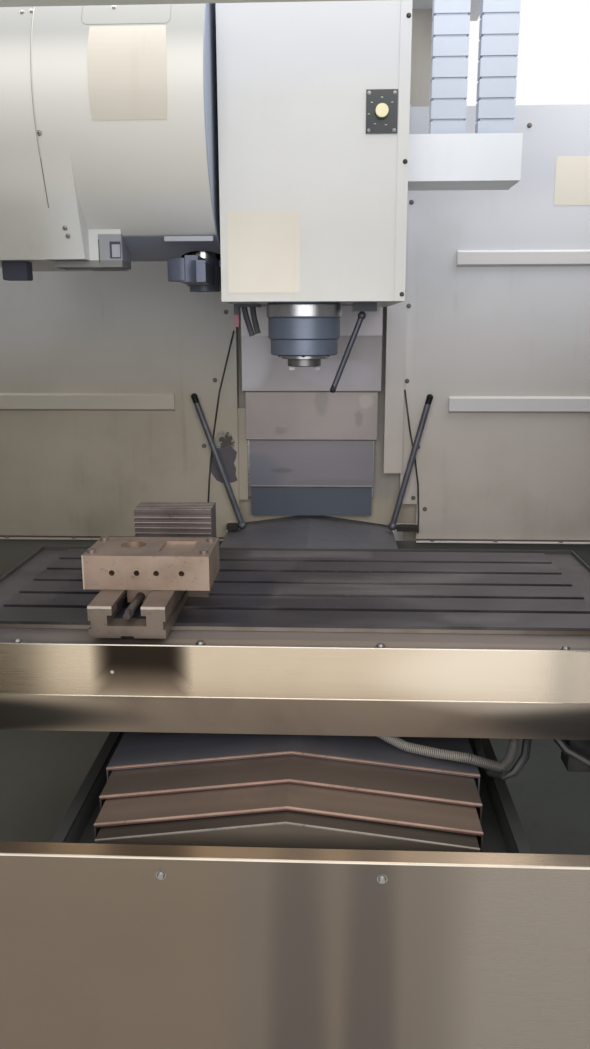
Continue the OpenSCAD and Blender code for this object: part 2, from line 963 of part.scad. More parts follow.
module head_casting() {
    top = carriage_z + carriage_h;
    color("gray") {
        difference() {
            union() {
                block([-150, spindle_y - 112, head_z + sheet_t], [150, zc_y - 140, top - 90]);
                block([-250, zc_y - 140, carriage_z], [250, zc_y + 4, top]);
                both_sides()
                    along_x(100, 150)
                        polygon([
                            [zc_y - 141, top - 91], [zc_y - 141, top],
                            [spindle_y + 60, top - 91]
                        ]);
                both_sides() {
                    for (z = [carriage_z, top - 150]) {
                        block([z_gauge / 2 - 45, zc_y + 3, z], [z_gauge / 2 + 45, column_y - 8, z + 150]);
                    }
                }
                block([-60, zc_y + 3, top - 330], [60, z_screw_y + 45, top - 200]);
            }
            post(0, spindle_y, head_z, top, shaft_r + 12);
            both_sides()
                block(
                    [z_gauge / 2 - rail_w / 2 - run_gap, rail_front - run_gap, carriage_z - 1],
                    [z_gauge / 2 + rail_w / 2 + run_gap, column_y, top + 1]
                );
            post(0, z_screw_y, top - 331, top - 199, screw_r + run_gap);
            both_sides()
                block([120, spindle_y + 130, head_z + 90], [151, zc_y - 200, top - 170]);
        }
    }
}

module head_cover() {
    y0 = spindle_y - head_front;
    y1 = zc_y - 142;
    z1 = head_z + head_h;
    color("gainsboro") {
        difference() {
            block([-head_left, y0, head_z], [head_right, y1, z1]);
            block(
                [-head_left + sheet_t, y0 + sheet_t, head_z + sheet_t],
                [head_right - sheet_t, y1 + 1, z1 - sheet_t]
            );
            post(0, spindle_y, head_z - 1, head_z + sheet_t + 1, ring_r + 2);
            block([-152, spindle_y + 140, head_z - 1], [152, y1 + 1, head_z + sheet_t + 1]);
            bar_y(187, y0 - 1, y0 + sheet_t + 1, button_z, 15.6);
        }
        block([head_right - 26, y0 - sheet_t, head_z], [head_right, y0, z1]);
    }
}

module spindle_motor() {
    top = carriage_z + carriage_h - 90;
    color("dimgray") {
        translate([-95, spindle_y - 95, top])
            cube([190, 190, 20]);
        post(0, spindle_y, top + 20, head_z + head_h - sheet_t - 40, 88);
    }
}

module spindle_housing() {
    ring_z = head_z - 37;
    cap_z = nose_z + 29;
    g = bearing_gap;
    color("dimgray") {
        translate([0, spindle_y, 0])
            rotate_extrude($fn = 96)
                polygon([
                    [shaft_r + g, nose_z + 21], [60, nose_z + 21], [60, cap_z],
                    [cap_r - 12, cap_z], [cap_r - 6, cap_z + 3], [cap_r - 6, cap_z + 40],
                    [cap_r, cap_z + 44], [cap_r, ring_z - 6], [ring_r - 4, ring_z - 3],
                    [ring_r, ring_z], [ring_r, ring_z + 32], [ring_r - 3, ring_z + 35],
                    [ring_r - 3, head_z + sheet_t], [shaft_r + g, head_z + sheet_t]
                ]);
    }
}

module tool_spindle() {
    small_r = taper_r - taper_l * 7 / 48;
    top = carriage_z + carriage_h - 90;
    color("silver") {
        translate([0, spindle_y, 0])
            difference() {
                union() {
                    rotate_extrude($fn = 96)
                        polygon([
                            [0, nose_z], [nose_r - 2, nose_z], [nose_r, nose_z + 2],
                            [nose_r, nose_z + 20], [shaft_r, nose_z + 20.6], [shaft_r, top - 1], [0, top - 1]
                        ]);
                    for (side = [-1, 1])
                        translate([side * (taper_r + 10) - 8, -8, nose_z - 10])
                            cube([16, 16, 11]);
                }
                rotate_extrude($fn = 96)
                    polygon([
                        [0, nose_z - 1], [taper_r, nose_z - 1], [taper_r, nose_z],
                        [small_r, nose_z + taper_l], [drawbar_r, nose_z + taper_l],
                        [drawbar_r, nose_z + taper_l + 60], [0, nose_z + taper_l + 60]
                    ]);
            }
    }
}

module button_plate() {
    color("darkslategray") {
        difference() {
            block([150, button_y - 3, button_z - 48], [250 - 26, button_y, button_z + 48]);
            bar_y(187, button_y - 4, button_y + 1, button_z, 15.6);
        }
    }
}

module release_button() {
    color("wheat") {
        bar_y(187, button_y - 17, button_y - 2.5, button_z, 15);
    }
}

module nozzle_ball(at, r) {
    translate(at)
        sphere(r = r);
}

module head_nozzle() {
    color("dimgray") {
        nozzle_ball(nozzle_from, 11);
        hull() {
            translate(nozzle_from)
                sphere(r = 7.5, $fn = 24);
            translate(nozzle_to)
                sphere(r = 7.5, $fn = 24);
        }
        nozzle_ball(nozzle_to, 8.2);
    }
}

module head_hoses() {
    y = spindle_y + 100;
    color("dimgray") {
        tube([[-170, y, head_z - 4], [-163, y, head_z - 36], [-147, y, head_z - 86]], 8, 12);
        tube([[-148, y + 18, head_z - 4], [-143, y + 18, head_z - 40], [-133, y + 18, head_z - 80]], 8, 12);
        block([-190, y - 16, head_z - 8], [-126, y + 34, head_z]);
        block([128, spindle_y - 24, head_z - 22], [190, spindle_y + 30, head_z]);
    }
    color("firebrick") {
        block([-197, y - 5, head_z - 62], [-184, y + 8, head_z]);
    }
}

// Cable chains beside the head

module cable_bracket() {
    z = bracket_z;
    color("gainsboro") {
        difference() {
            block([head_right, spindle_y - 10, z], [bracket_x, spindle_y + 150, z + 111]);
            block(
                [head_right - 1, spindle_y - 10 + sheet_t, z + sheet_t],
                [bracket_x - sheet_t, spindle_y + 151, z + 112]
            );
        }
    }
}

module chain_column(x0, x1) {
    z0 = bracket_z + sheet_t;
    n = 13;
    pitch = (chain_top - 0.3 - z0) / n;
    y = spindle_y + 10;
    block([x0 + 5, y + 5, z0], [x1 - 5, y + 40, chain_top - 0.3]);
    for (i = [0 : n - 1])
        block([x0, y, z0 + i * pitch + 3], [x1, y + 45, z0 + (i + 1) * pitch - 3]);
}

module cable_chains() {
    color("black") {
        chain_column(bracket_x - 227, bracket_x - 139);
        chain_column(bracket_x - 109, bracket_x - 18);
    }
}

module chain_support() {
    z = chain_top;
    color("gainsboro") {
        difference() {
            block([300, spindle_y - 10, z], [bracket_x, column_y + 120, z + fold_d]);
            block(
                [300 + sheet_t, spindle_y - 10 + sheet_t, z + sheet_t],
                [bracket_x - sheet_t, column_y + 121, z + fold_d + 1]
            );
        }
    }
}

// Tool changer: cover, magazine, cam box and change arm

module drum_round(x0, x1, r) {
    bar_x(x0, x1, drum_y, drum_z, r);
}

module drum_cover() {
    y0 = drum_y - 230;
    y1 = drum_y + 230;
    z0 = drum_z - drum_r - 12;
    t = sheet_t;
    x_box = -537;
    color("gainsboro") {
        difference() {
            union() {
                drum_round(-drum_left, -drum_right, drum_r);
                along_x(-drum_left, x_box)
                    polygon([
                        [drum_y - drum_r * cos(20), drum_z - drum_r * sin(20)],
                        [y0 - 12, z0], [y1, z0], [y1, drum_z]
                    ]);
                block([-626, y0 + 30, drum_z - drum_r - 28], [-455, y0 + 130, drum_z - 200]);
            }
            drum_round(-drum_left + t, -drum_right - t, drum_r - t);
            along_x(-drum_left + t, x_box - t)
                polygon([
                    [drum_y - (drum_r - t) * cos(20), drum_z - (drum_r - t) * sin(20)],
                    [y0 - 12 + 2.1, z0 + t], [y1 - t, z0 + t], [y1 - t, drum_z]
                ]);
            block(
                [-626 + t, y0 + 30 + t, drum_z - drum_r - 29],
                [-455 - t, y0 + 130 - t, drum_z - 200 - t]
            );
            block([-beam_x1, drum_y + 120, beam_z], [-beam_x0, drum_y + drum_r + 1, beam_z + beam_h]);
            post(arm_x, arm_y, drum_z - drum_r - 60, drum_z - 200, 60);
        }
    }
}

module tool_magazine() {
    disc_r = pot_ring - pot_r - 10;
    color("silver") {
        difference() {
            bar_x(pot_x - 75, pot_x - 50, drum_y, drum_z, disc_r + pot_r + 12);
            for (i = [0 : 5])
                rotate_drum(i * 60 + 15)
                    bar_x(pot_x - 80, pot_x - 40, drum_y + disc_r * 0.55, drum_z, 58);
        }
        bar_x(pot_x - 76, -beam_x0 - 8, drum_y, drum_z, magazine_shaft_r);
        for (i = [0 : pot_n - 1])
            rotate_drum(i * 360 / pot_n)
                difference() {
                    bar_x(pot_x - 51, pot_x + 50, drum_y + pot_ring, drum_z, pot_r);
                    bar_x(pot_x - 30, pot_x + 51, drum_y + pot_ring, drum_z, pot_r - 6);
                }
    }
}

module rotate_drum(a) {
    translate([0, drum_y, drum_z])
        rotate([a, 0, 0])
            translate([0, -drum_y, -drum_z])
                children();
}

module atc_gearbox() {
    color("gray") {
        difference() {
            union() {
                block([-beam_x1, -60, beam_z], [-beam_x0, column_y, beam_z + beam_h]);
                block([arm_x - 50, arm_y - 74, beam_z], [arm_x + 48, -20, beam_z + beam_h]);
                block([-beam_x1 - 55, drum_y - 70, beam_z], [-beam_x1 + 1, drum_y + 70, drum_z + 70]);
            }
            post(arm_x, arm_y, beam_z - 1, beam_z + beam_h - 20, sleeve_r + bearing_gap);
            bar_x(-beam_x1 - 56, -beam_x0 + 1, drum_y, drum_z, magazine_shaft_r + bearing_gap);
        }
    }
}

module arm_sleeve() {
    color("silver") {
        difference() {
            post(arm_x, arm_y, arm_z + 40, beam_z + beam_h - 24, sleeve_r);
            post(arm_x, arm_y, arm_z + 39, beam_z + beam_h, arm_shaft_r + bearing_gap);
        }
    }
}

module arm_plan() {
    difference() {
        union() {
            circle(r = 46);
            for (a = [0, 180])
                rotate([0, 0, a]) {
                    polygon([[-34, 0], [34, 0], [26, arm_reach - 30], [-26, arm_reach - 30]]);
                    translate([0, arm_reach])
                        circle(r = 47);
                }
        }
        for (a = [0, 180])
            rotate([0, 0, a]) {
                translate([0, arm_reach])
                    circle(r = 31);
                translate([-60, arm_reach - 26])
                    square([60, 80]);
            }
    }
}

module change_arm() {
    color("dimgray") {
        translate([arm_x, arm_y, arm_z - 30])
            linear_extrude(height = 50)
                arm_plan();
        post(arm_x, arm_y, arm_z - 44, arm_z + 39.6, 40);
        post(arm_x, arm_y, arm_z + 39, beam_z + beam_h - 30, arm_shaft_r);
        for (a = [0, 180])
            translate([arm_x, arm_y, 0])
                rotate([0, 0, a])
                    block([-16, 90, arm_z + 19], [16, arm_reach - 60, arm_z + 34]);
    }
}

// Rear panels of the working space

module wall_rib(x0, x1, z0, z1) {
    along_x(x0, x1)
        polygon([[zc_y + 1, z0], [zc_y - 14, z0 + 8], [zc_y - 14, z1 - 8], [zc_y + 1, z1]]);
}

module arch_screen() {
    half = roof_w / 2 + 5;
    low = roof_side + 11;
    along_y(column_y - sheet_t, column_y)
        polygon([
            [-arch_w / 2 - 5, low], [-half, low], [0, roof_ridge + 11], [half, low],
            [arch_w / 2 + 60, low], [arch_w / 2 + 60, screen_top], [-arch_w / 2 - 5, screen_top]
        ]);
}

module rear_panel_left() {
    x1 = -beam_x0 + sheet_t;
    notch_x = -roof_w / 2 - 8;
    color("gray") {
        difference() {
            block([-wall_x, zc_y, panel_z], [x1, zc_y + sheet_t, guard_h]);
            block([notch_x, zc_y - 1, panel_z - 1], [x1 + 1, zc_y + sheet_t + 1, roof_side + 14]);
            block([-beam_x1, zc_y - 1, beam_z], [-beam_x0, zc_y + sheet_t + 1, beam_z + beam_h]);
        }
        block([-wall_x, zc_y - 24, panel_z], [notch_x, zc_y, panel_z + sheet_t]);
        block([x1 - sheet_t, zc_y + sheet_t - 1, screen_top - 2], [x1, column_y, guard_h]);
        block(
            [x1 - sheet_t, zc_y + 17, screen_top - 2],
            [-z_gauge / 2 - rail_w / 2 - 1, zc_y + 20, carriage_z - head_down - 5]
        );
        arch_screen();
        wall_rib(-wall_x, -473, 1366, 1429);
        block(
            [x1 - 40, pipe_y - 12, pipe_z - 16],
            [pipe_left_x - pipe_ball_r - 0.3, zc_y + 1, pipe_z + 1]
        );
    }
}

module rear_panel_right() {
    x0 = 317;
    x_low = 377;
    color("gray") {
        difference() {
            block([x0, zc_y, panel_z], [wall_x, zc_y + sheet_t, guard_h]);
            block([x0 - 1, zc_y - 1, panel_z - 1], [x_low, zc_y + sheet_t + 1, 1040]);
        }
        block([x_low, zc_y - 24, panel_z], [wall_x, zc_y, panel_z + sheet_t]);
        block([x0, zc_y + sheet_t - 1, 1060], [x0 + sheet_t, column_y, guard_h]);
        wall_rib(485, wall_x, 1845, 1899);
        wall_rib(476, wall_x, 1361, 1420);
        block(
            [pipe_right_x + pipe_ball_r + 0.3, pipe_y - 12, pipe_z - 16],
            [x_low + 3, zc_y + 1, pipe_z + 1]
        );
    }
    color("gainsboro") {
        block([head_right + 4, zc_y - 29, 1155], [x0 + 2, zc_y + 0.5, guard_h]);
    }
}

// Upright cover plates between the head and the way cover

module upright_plate(i, z0, z1) {
    half = zc_w / 2 - i * zc_step / 2;
    y0 = zc_y + i * upright_nest;
    translate([cover_off, 0, 0])
        difference() {
            block([-half, y0, z0], [half, rail_front - 2, z1]);
            block([-half + sheet_t, y0 + sheet_t, z0 - 1], [half - sheet_t, rail_front, z1 + 1]);
        }
}

module z_cover_1() {
    color("tan") {
        upright_plate(0, zc_edge, carriage_z);
        translate([cover_off, 0, 0])
            block([-zc_w / 2, zc_y - 8, zc_edge + 191], [zc_w / 2, zc_y + 1, carriage_z]);
    }
}

module z_cover_2() {
    color("tan") {
        upright_plate(1, zc_edge - zc_show, zc_edge - zc_show + zc_l);
    }
}

module z_cover_3() {
    color("tan") {
        upright_plate(2, zc_edge - 2 * zc_show, zc_edge - 2 * zc_show + zc_l);
    }
}

module z_cover_strip() {
    half = zc_w / 2 - zc_step - sheet_t - 1;
    y0 = zc_y + 3 * upright_nest;
    z0 = zc_edge - 2 * zc_show - 102;
    color("dimgray") {
        translate([cover_off, 0, 0]) {
            block([-half, y0, z0], [half, y0 + sheet_t, z0 + 216]);
            block([-half, y0, z0], [half, column_y - sheet_t, z0 + sheet_t]);
        }
    }
}

// Front way cover and rear roof

function cover_half(i) = cover_w / 2 - i * cover_step / 2;

function cover_top(i) = cover_ridge - i * cover_nest;

module cover_profile(i) {
    h = cover_half(i);
    z = cover_top(i);
    s = z - cover_drop;
    t = cover_t;
    polygon([
        [-h, s - skirt_h], [-h, s], [0, z], [h, s], [h, s - skirt_h],
        [h - t, s - skirt_h], [h - t, s - t], [0, z - t], [-h + t, s - t], [-h + t, s - skirt_h]
    ]);
}

module wiper_profile(i) {
    h = cover_half(i) - cover_t - 0.3;
    z = cover_top(i);
    s = z - cover_drop;
    t = cover_t;
    low = cover_nest - run_gap;
    polygon([
        [-h, s - t + 0.2], [0, z - t + 0.2], [h, s - t + 0.2],
        [h, s - low], [0, z - low], [-h, s - low]
    ]);
}

module cover_plate(i) {
    color("tan")
        along_y(cover_y[i], cover_y[i] + cover_l)
            cover_profile(i);
    color("sienna")
        along_y(cover_y[i] - 0.01, cover_y[i] + 10)
            wiper_profile(i);
}

module y_cover_1() {
    cover_plate(0);
}

module y_cover_2() {
    cover_plate(1);
}

module y_cover_3() {
    cover_plate(2);
}

module y_cover_4() {
    h = cover_half(3);
    z = cover_top(3);
    color("tan") {
        along_y(cover_y[3], cover_y[3] + cover_l)
            cover_profile(3);
        along_y(cover_y[3], cover_y[3] + cover_t)
            polygon([
                [-h, bed_top - 80], [h, bed_top - 80], [h, z - cover_drop],
                [0, z], [-h, z - cover_drop]
            ]);
    }
}

module rear_roof() {
    h = roof_w / 2;
    t = cover_t;
    z = roof_ridge;
    s = roof_side + t;
    color("gray") {
        along_y(riser_y, column_y + 60)
            polygon([
                [-h, s - 60], [-h, s], [0, z + t], [h, s], [h, s - 60],
                [h - t, s - 60], [h - t, s - t], [0, z], [-h + t, s - t], [-h + t, s - 60]
            ]);
    }
}

// Wash pipes, wires and hoses

module wash_pipe(base, tip) {
    hull() {
        translate(base)
            sphere(r = pipe_r, $fn = 24);
        translate(tip)
            sphere(r = pipe_r, $fn = 24);
    }
    nozzle_ball(base, pipe_ball_r);
    nozzle_ball(tip, pipe_r + 0.7);
}

module wash_pipe_left() {
    color("dimgray")
        wash_pipe([pipe_left_x, pipe_y, pipe_z], [pipe_left_x - 158, pipe_y, pipe_z + 452]);
}

module wash_pipe_right() {
    color("dimgray")
        wash_pipe([pipe_right_x, pipe_y, pipe_z], [pipe_right_x + 116, pipe_y, pipe_z + 450]);
}

// Unit vector of the route at point i
function heading(p, i) =
    let (a = p[max(i - 1, 0)])
    let (b = p[min(i + 1, len(p) - 1)])
    (b - a) / norm(b - a);

// A ring of points round point i of the route
function ring(p, i, r, n) =
    let (d = heading(p, i))
    let (s = abs(d[0]) < 0.9 ? [1, 0, 0] : [0, 1, 0])
    let (u = cross(d, s) / norm(cross(d, s)))
    let (v = cross(d, u))
    [for (k = [0 : n - 1]) p[i] + r * (u * cos(k * 360 / n) + v * sin(k * 360 / n))];

// A tube along a route of points
module tube(p, r, n = 8) {
    m = len(p);
    points = [for (i = [0 : m - 1]) for (q = ring(p, i, r, n)) q];
    sides = [
        for (i = [0 : m - 2]) for (k = [0 : n - 1])
            [i * n + k, (i + 1) * n + k, (i + 1) * n + (k + 1) % n, i * n + (k + 1) % n]
    ];
    first = [for (k = [0 : n - 1]) k];
    last = [for (k = [n - 1 : -1 : 0]) (m - 1) * n + k];
    polyhedron(points = points, faces = concat(sides, [first], [last]), convexity = 4);
}

module wall_wires() {
    color("dimgray") {
        tube(wire_left, wire_r);
        tube(wire_right, wire_r);
    }
}

module saddle_hoses() {
    color("gray")
        tube(hose_light, 9);
    color("black") {
        tube(hose_dark, 9);
        tube(hose_right, 9);
    }
    color("tan")
        block([575, wing_front - 58, 744], [660, wing_front, wing_z + 32]);
}

// Guard: side walls, sill, fascia and doors

module side_walls() {
    x0 = wall_x - fold_d;
    color("gainsboro") {
        both_sides() {
            block([wall_x, fascia_y, 30], [guard_w / 2, guard_back, guard_h]);
            block([x0, fascia_y + 30, guard_h - sheet_t], [wall_x + 0.1, zc_y, guard_h]);
            block([x0, guard_back - sheet_t, panel_z], [wall_x + 0.1, guard_back, guard_h]);
        }
    }
}

module front_sill() {
    x1 = wall_x - 0.2;
    color("tan")
        along_x(-x1, x1)
            folded([
                [sill_y + sill_lip, sill_h - 24],
                [sill_y + sill_lip, sill_h],
                [sill_y, sill_h],
                [sill_y, 60]
            ], sheet_t);
}

module front_fascia() {
    x1 = wall_x - 0.2;
    y0 = fascia_y;
    y1 = fascia_y + 30;
    half = door_w / 2;
    t = sheet_t;
    color("gainsboro") {
        difference() {
            block([-x1, y0, 60], [x1, y1, guard_h]);
            block([-half, y0 - 1, 59], [half, y1 + 1, lintel_z]);
            both_sides()
                block([half + t, y0 + t, 60 + t], [x1 - t, y1 + 1, guard_h - t]);
            block([-half - t, y0 + t, lintel_z + t], [half + t, y1 + 1, guard_h - t]);
        }
        block([-x1, y1 - 0.1, door_top], [x1, y1 + 44, door_top + 24]);
    }
}

module door(side) {
    x0 = half_open;
    x1 = half_open + door_panel_w;
    y0 = door_y;
    y1 = door_y + door_t;
    z0 = sill_h + run_gap;
    z1 = door_top - run_gap;
    grip_y = door_y - 24;
    mirror([side < 0 ? 1 : 0, 0, 0]) {
        difference() {
            block([x0, y0, z0], [x1, y1, z1]);
            block([x0 + 90, y0 - 1, z0 + 420], [x1 - 90, y0 + 11, z1 - 130]);
            block([x0 + 90, y1 - 11, z0 + 420], [x1 - 90, y1 + 1, z1 - 130]);
        }
        post(x0 + 16, grip_y, z0 + 380, z0 + 620, 8);
        for (z = [z0 + 395, z0 + 605])
            bar_y(x0 + 16, grip_y, y0 + 1, z, 6);
    }
}

module door_left() {
    color("gainsboro")
        door(-1);
}

module door_right() {
    color("gainsboro")
        door(1);
}

module operator_panel() {
    x0 = console_x;
    y0 = fascia_y - 20;
    z0 = console_z;
    color("dimgray") {
        difference() {
            block([x0, y0, z0], [x0 + console_w, fascia_y, z0 + console_h]);
            block([x0 + 50, y0 - 1, z0 + 290], [x0 + 370, y0 + 6, z0 + 590]);
            block([x0 + 30, y0 - 1, z0 + 20], [x0 + 390, y0 + 3, z0 + 260]);
            bar_y(stop_x, y0 - 1, y0 + 19, stop_z, 16.3);
        }
        for (i = [0 : 7])
            for (j = [0 : 3])
                block(
                    [x0 + 44 + i * 34, y0 + 1, z0 + 104 + j * 34],
                    [x0 + 70 + i * 34, y0 + 3.1, z0 + 130 + j * 34]
                );
    }
}

module stop_button() {
    y0 = fascia_y - 20;
    color("firebrick") {
        bar_y(stop_x, y0 - 18, y0 - 8, stop_z, 20);
        bar_y(stop_x, y0 - 9, y0 + 12, stop_z, 16);
    }
}

// Electrical cabinet on the back of the column

module electrical_cabinet() {
    half = column_w / 2 - 30;
    z0 = cabinet_z;
    z1 = column_top - 340;
    t = sheet_t;
    back = machine_back - 30;
    color("gainsboro") {
        difference() {
            block([-half, column_back, z0], [half, back, z1]);
            block([-half + t, column_back + t, z0 + t], [half - t, back + 1, z1 - t]);
        }
    }
    color("silver") {
        block([-half + 60, column_back + t - 0.1, z0 + 80], [half - 60, column_back + t + 12, z1 - 80]);
        for (i = [0 : 2])
            block(
                [-half + 120 + i * 200, column_back + t + 11, z0 + 700],
                [-half + 270 + i * 200, column_back + t + 150, z0 + 1040]
            );
        for (j = [0 : 2])
            block(
                [-half + 120, column_back + t + 11, z0 + 160 + j * 160],
                [half - 120, column_back + t + 60, z0 + 200 + j * 160]
            );
    }
}

module cabinet_door() {
    half = column_w / 2 - 30;
    z0 = cabinet_z;
    z1 = column_top - 340;
    y0 = machine_back - 30 + run_gap;
    color("gainsboro") {
        difference() {
            block([-half, y0, z0], [half, machine_back, z1]);
            block([-half + 4, y0 - 1, z0 + 4], [half - 4, machine_back - 4, z1 - 4]);
            bar_y(half - 50, machine_back - 5, machine_back + 1, (z0 + z1) / 2, 12);
        }
        block(
            [half - 56, machine_back - 3, (z0 + z1) / 2 - 60],
            [half - 44, machine_back - 1, (z0 + z1) / 2 + 60]
        );
    }
}

// Each node by its name
base_casting();
levelling_feet();
chip_pan();
way_rails();
y_ball_screw();
axis_motors();
saddle_casting();
x_rails();
x_ball_screw();
x_servo_motor();
table();
table_trough();
table_apron();
vise_body();
vise_rear_jaw();
vise_front_jaw();
vise_screw();
column_casting();
z_ball_screw();
head_casting();
head_cover();
spindle_motor();
spindle_housing();
tool_spindle();
button_plate();
release_button();
head_nozzle();
head_hoses();
cable_bracket();
cable_chains();
chain_support();
drum_cover();
tool_magazine();
atc_gearbox();
arm_sleeve();
change_arm();
rear_panel_left();
rear_panel_right();
z_cover_1();
z_cover_2();
z_cover_3();
z_cover_strip();
y_cover_1();
y_cover_2();
y_cover_3();
y_cover_4();
rear_roof();
wash_pipe_left();
wash_pipe_right();
wall_wires();
saddle_hoses();
side_walls();
front_sill();
front_fascia();
door_left();
door_right();
operator_panel();
stop_button();
electrical_cabinet();
cabinet_door();
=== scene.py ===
"""Looks of a vertical machining center: slotted table, telescopic way covers, arm tool changer and
a guard with sliding doors. Everything is in metres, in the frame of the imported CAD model."""

import logging
import math
from dataclasses import dataclass, field
from enum import Enum
from functools import partial
from typing import Any, Dict, List, Optional, Sequence, Tuple, Union

import bmesh
import bpy
from mathutils import Matrix, Vector


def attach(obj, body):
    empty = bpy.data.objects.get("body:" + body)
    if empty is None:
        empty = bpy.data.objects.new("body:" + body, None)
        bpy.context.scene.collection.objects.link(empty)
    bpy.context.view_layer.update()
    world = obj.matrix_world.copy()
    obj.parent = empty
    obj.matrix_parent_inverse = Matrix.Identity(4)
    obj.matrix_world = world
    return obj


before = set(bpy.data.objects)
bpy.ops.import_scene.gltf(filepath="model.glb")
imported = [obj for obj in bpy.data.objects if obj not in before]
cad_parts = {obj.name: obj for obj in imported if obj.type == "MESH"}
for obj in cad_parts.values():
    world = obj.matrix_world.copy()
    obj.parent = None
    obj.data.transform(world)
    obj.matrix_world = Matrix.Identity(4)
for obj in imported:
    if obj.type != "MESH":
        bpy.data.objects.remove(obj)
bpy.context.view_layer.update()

LOG = logging.getLogger("machining_center")
Pair = Tuple[float, float]
Point = Tuple[float, float, float]
Colour = int  # 0xRRGGBB as seen on a screen
SINK = 0.0002  # How far an added piece reaches into the CAD face under it.
SHARP = 0.6  # Angle in radians from which an edge is rounded.
FOLD_EDGE = 0.0015  # How soft the line is below which a folded sheet changes.
PATCH_EDGE = 0.35  # Where the edge of a patch lies between its middle, 1, and its reach, 0.
FRONT: Point = (0.0, -1.0, 0.0)
BACK: Point = (0.0, 1.0, 0.0)
UP: Point = (0.0, 0.0, 1.0)
DOWN: Point = (0.0, 0.0, -1.0)
LEFT: Point = (-1.0, 0.0, 0.0)
RIGHT: Point = (1.0, 0.0, 0.0)


def linear(colour: Colour) -> Point:
    """Turns a colour as seen on a screen into linear amounts.

    Args:
        colour: Red, green and blue as 0xRRGGBB.

    Returns:
        The linear amounts.
    """
    def part(value: int) -> float:
        """Linear amount of one part."""
        v = value / 255
        return v / 12.92 if v <= 0.04045 else ((v + 0.055) / 1.055) ** 2.4
    return part(colour >> 16), part(colour >> 8 & 255), part(colour & 255)


class Axis(Enum):
    """Direction of a brushed or ground grain."""

    X = 0
    Y = 1
    Z = 2


class Wire:
    """A socket of a material's tree on which plain arithmetic adds the Math nodes."""

    def __init__(self, graph: "Graph", socket: bpy.types.NodeSocket) -> None:
        """Keeps the tree and the socket."""
        self.graph = graph
        self.socket = socket

    def _math(self, operation: str, first: "Amount", second: "Amount") -> "Wire":
        """Adds one Math node."""
        return self.graph.node("ShaderNodeMath", {"operation": operation}, {0: first, 1: second})

    def __add__(self, other: "Amount") -> "Wire":
        """Sum."""
        return self._math("ADD", self, other)

    __radd__ = __add__

    def __mul__(self, other: "Amount") -> "Wire":
        """Product."""
        return self._math("MULTIPLY", self, other)

    __rmul__ = __mul__

    def __sub__(self, other: "Amount") -> "Wire":
        """Difference."""
        return self._math("SUBTRACT", self, other)

    def __rsub__(self, other: "Amount") -> "Wire":
        """Difference with the socket on the right."""
        return self._math("SUBTRACT", other, self)

    def __truediv__(self, other: "Amount") -> "Wire":
        """Quotient."""
        return self._math("DIVIDE", self, other)

    def high(self, other: "Amount") -> "Wire":
        """The larger of the two."""
        return self._math("MAXIMUM", self, other)

    def low(self, other: "Amount") -> "Wire":
        """The smaller of the two."""
        return self._math("MINIMUM", self, other)

    def step(self, start: float, end: float) -> "Wire":
        """A soft step from 0 at start to 1 at end."""
        return self.graph.node("ShaderNodeMapRange", {"interpolation_type": "SMOOTHSTEP"},
                               {0: self, 1: start, 2: end})


Amount = Union[float, Wire]


class Tree:
    """A node tree that nodes are added to."""

    def __init__(self, tree: bpy.types.NodeTree) -> None:
        """Keeps the tree."""
        self.tree = tree

    def add(self, kind: str, settings: Dict[str, Any], values: Dict[Any, Any]) -> bpy.types.Node:
        """Adds one node.

        Args:
            kind: The node's type.
            settings: Its settings, set first.
            values: Numbers, colours, sockets or wires for its inputs.

        Returns:
            The node.
        """
        made = self.tree.nodes.new(kind)
        for key, value in settings.items():
            setattr(made, key, value)
        for key, value in values.items():
            source = value.socket if isinstance(value, Wire) else value
            if isinstance(source, bpy.types.NodeSocket):
                self.tree.links.new(source, made.inputs[key])
            else:
                made.inputs[key].default_value = source
        return made


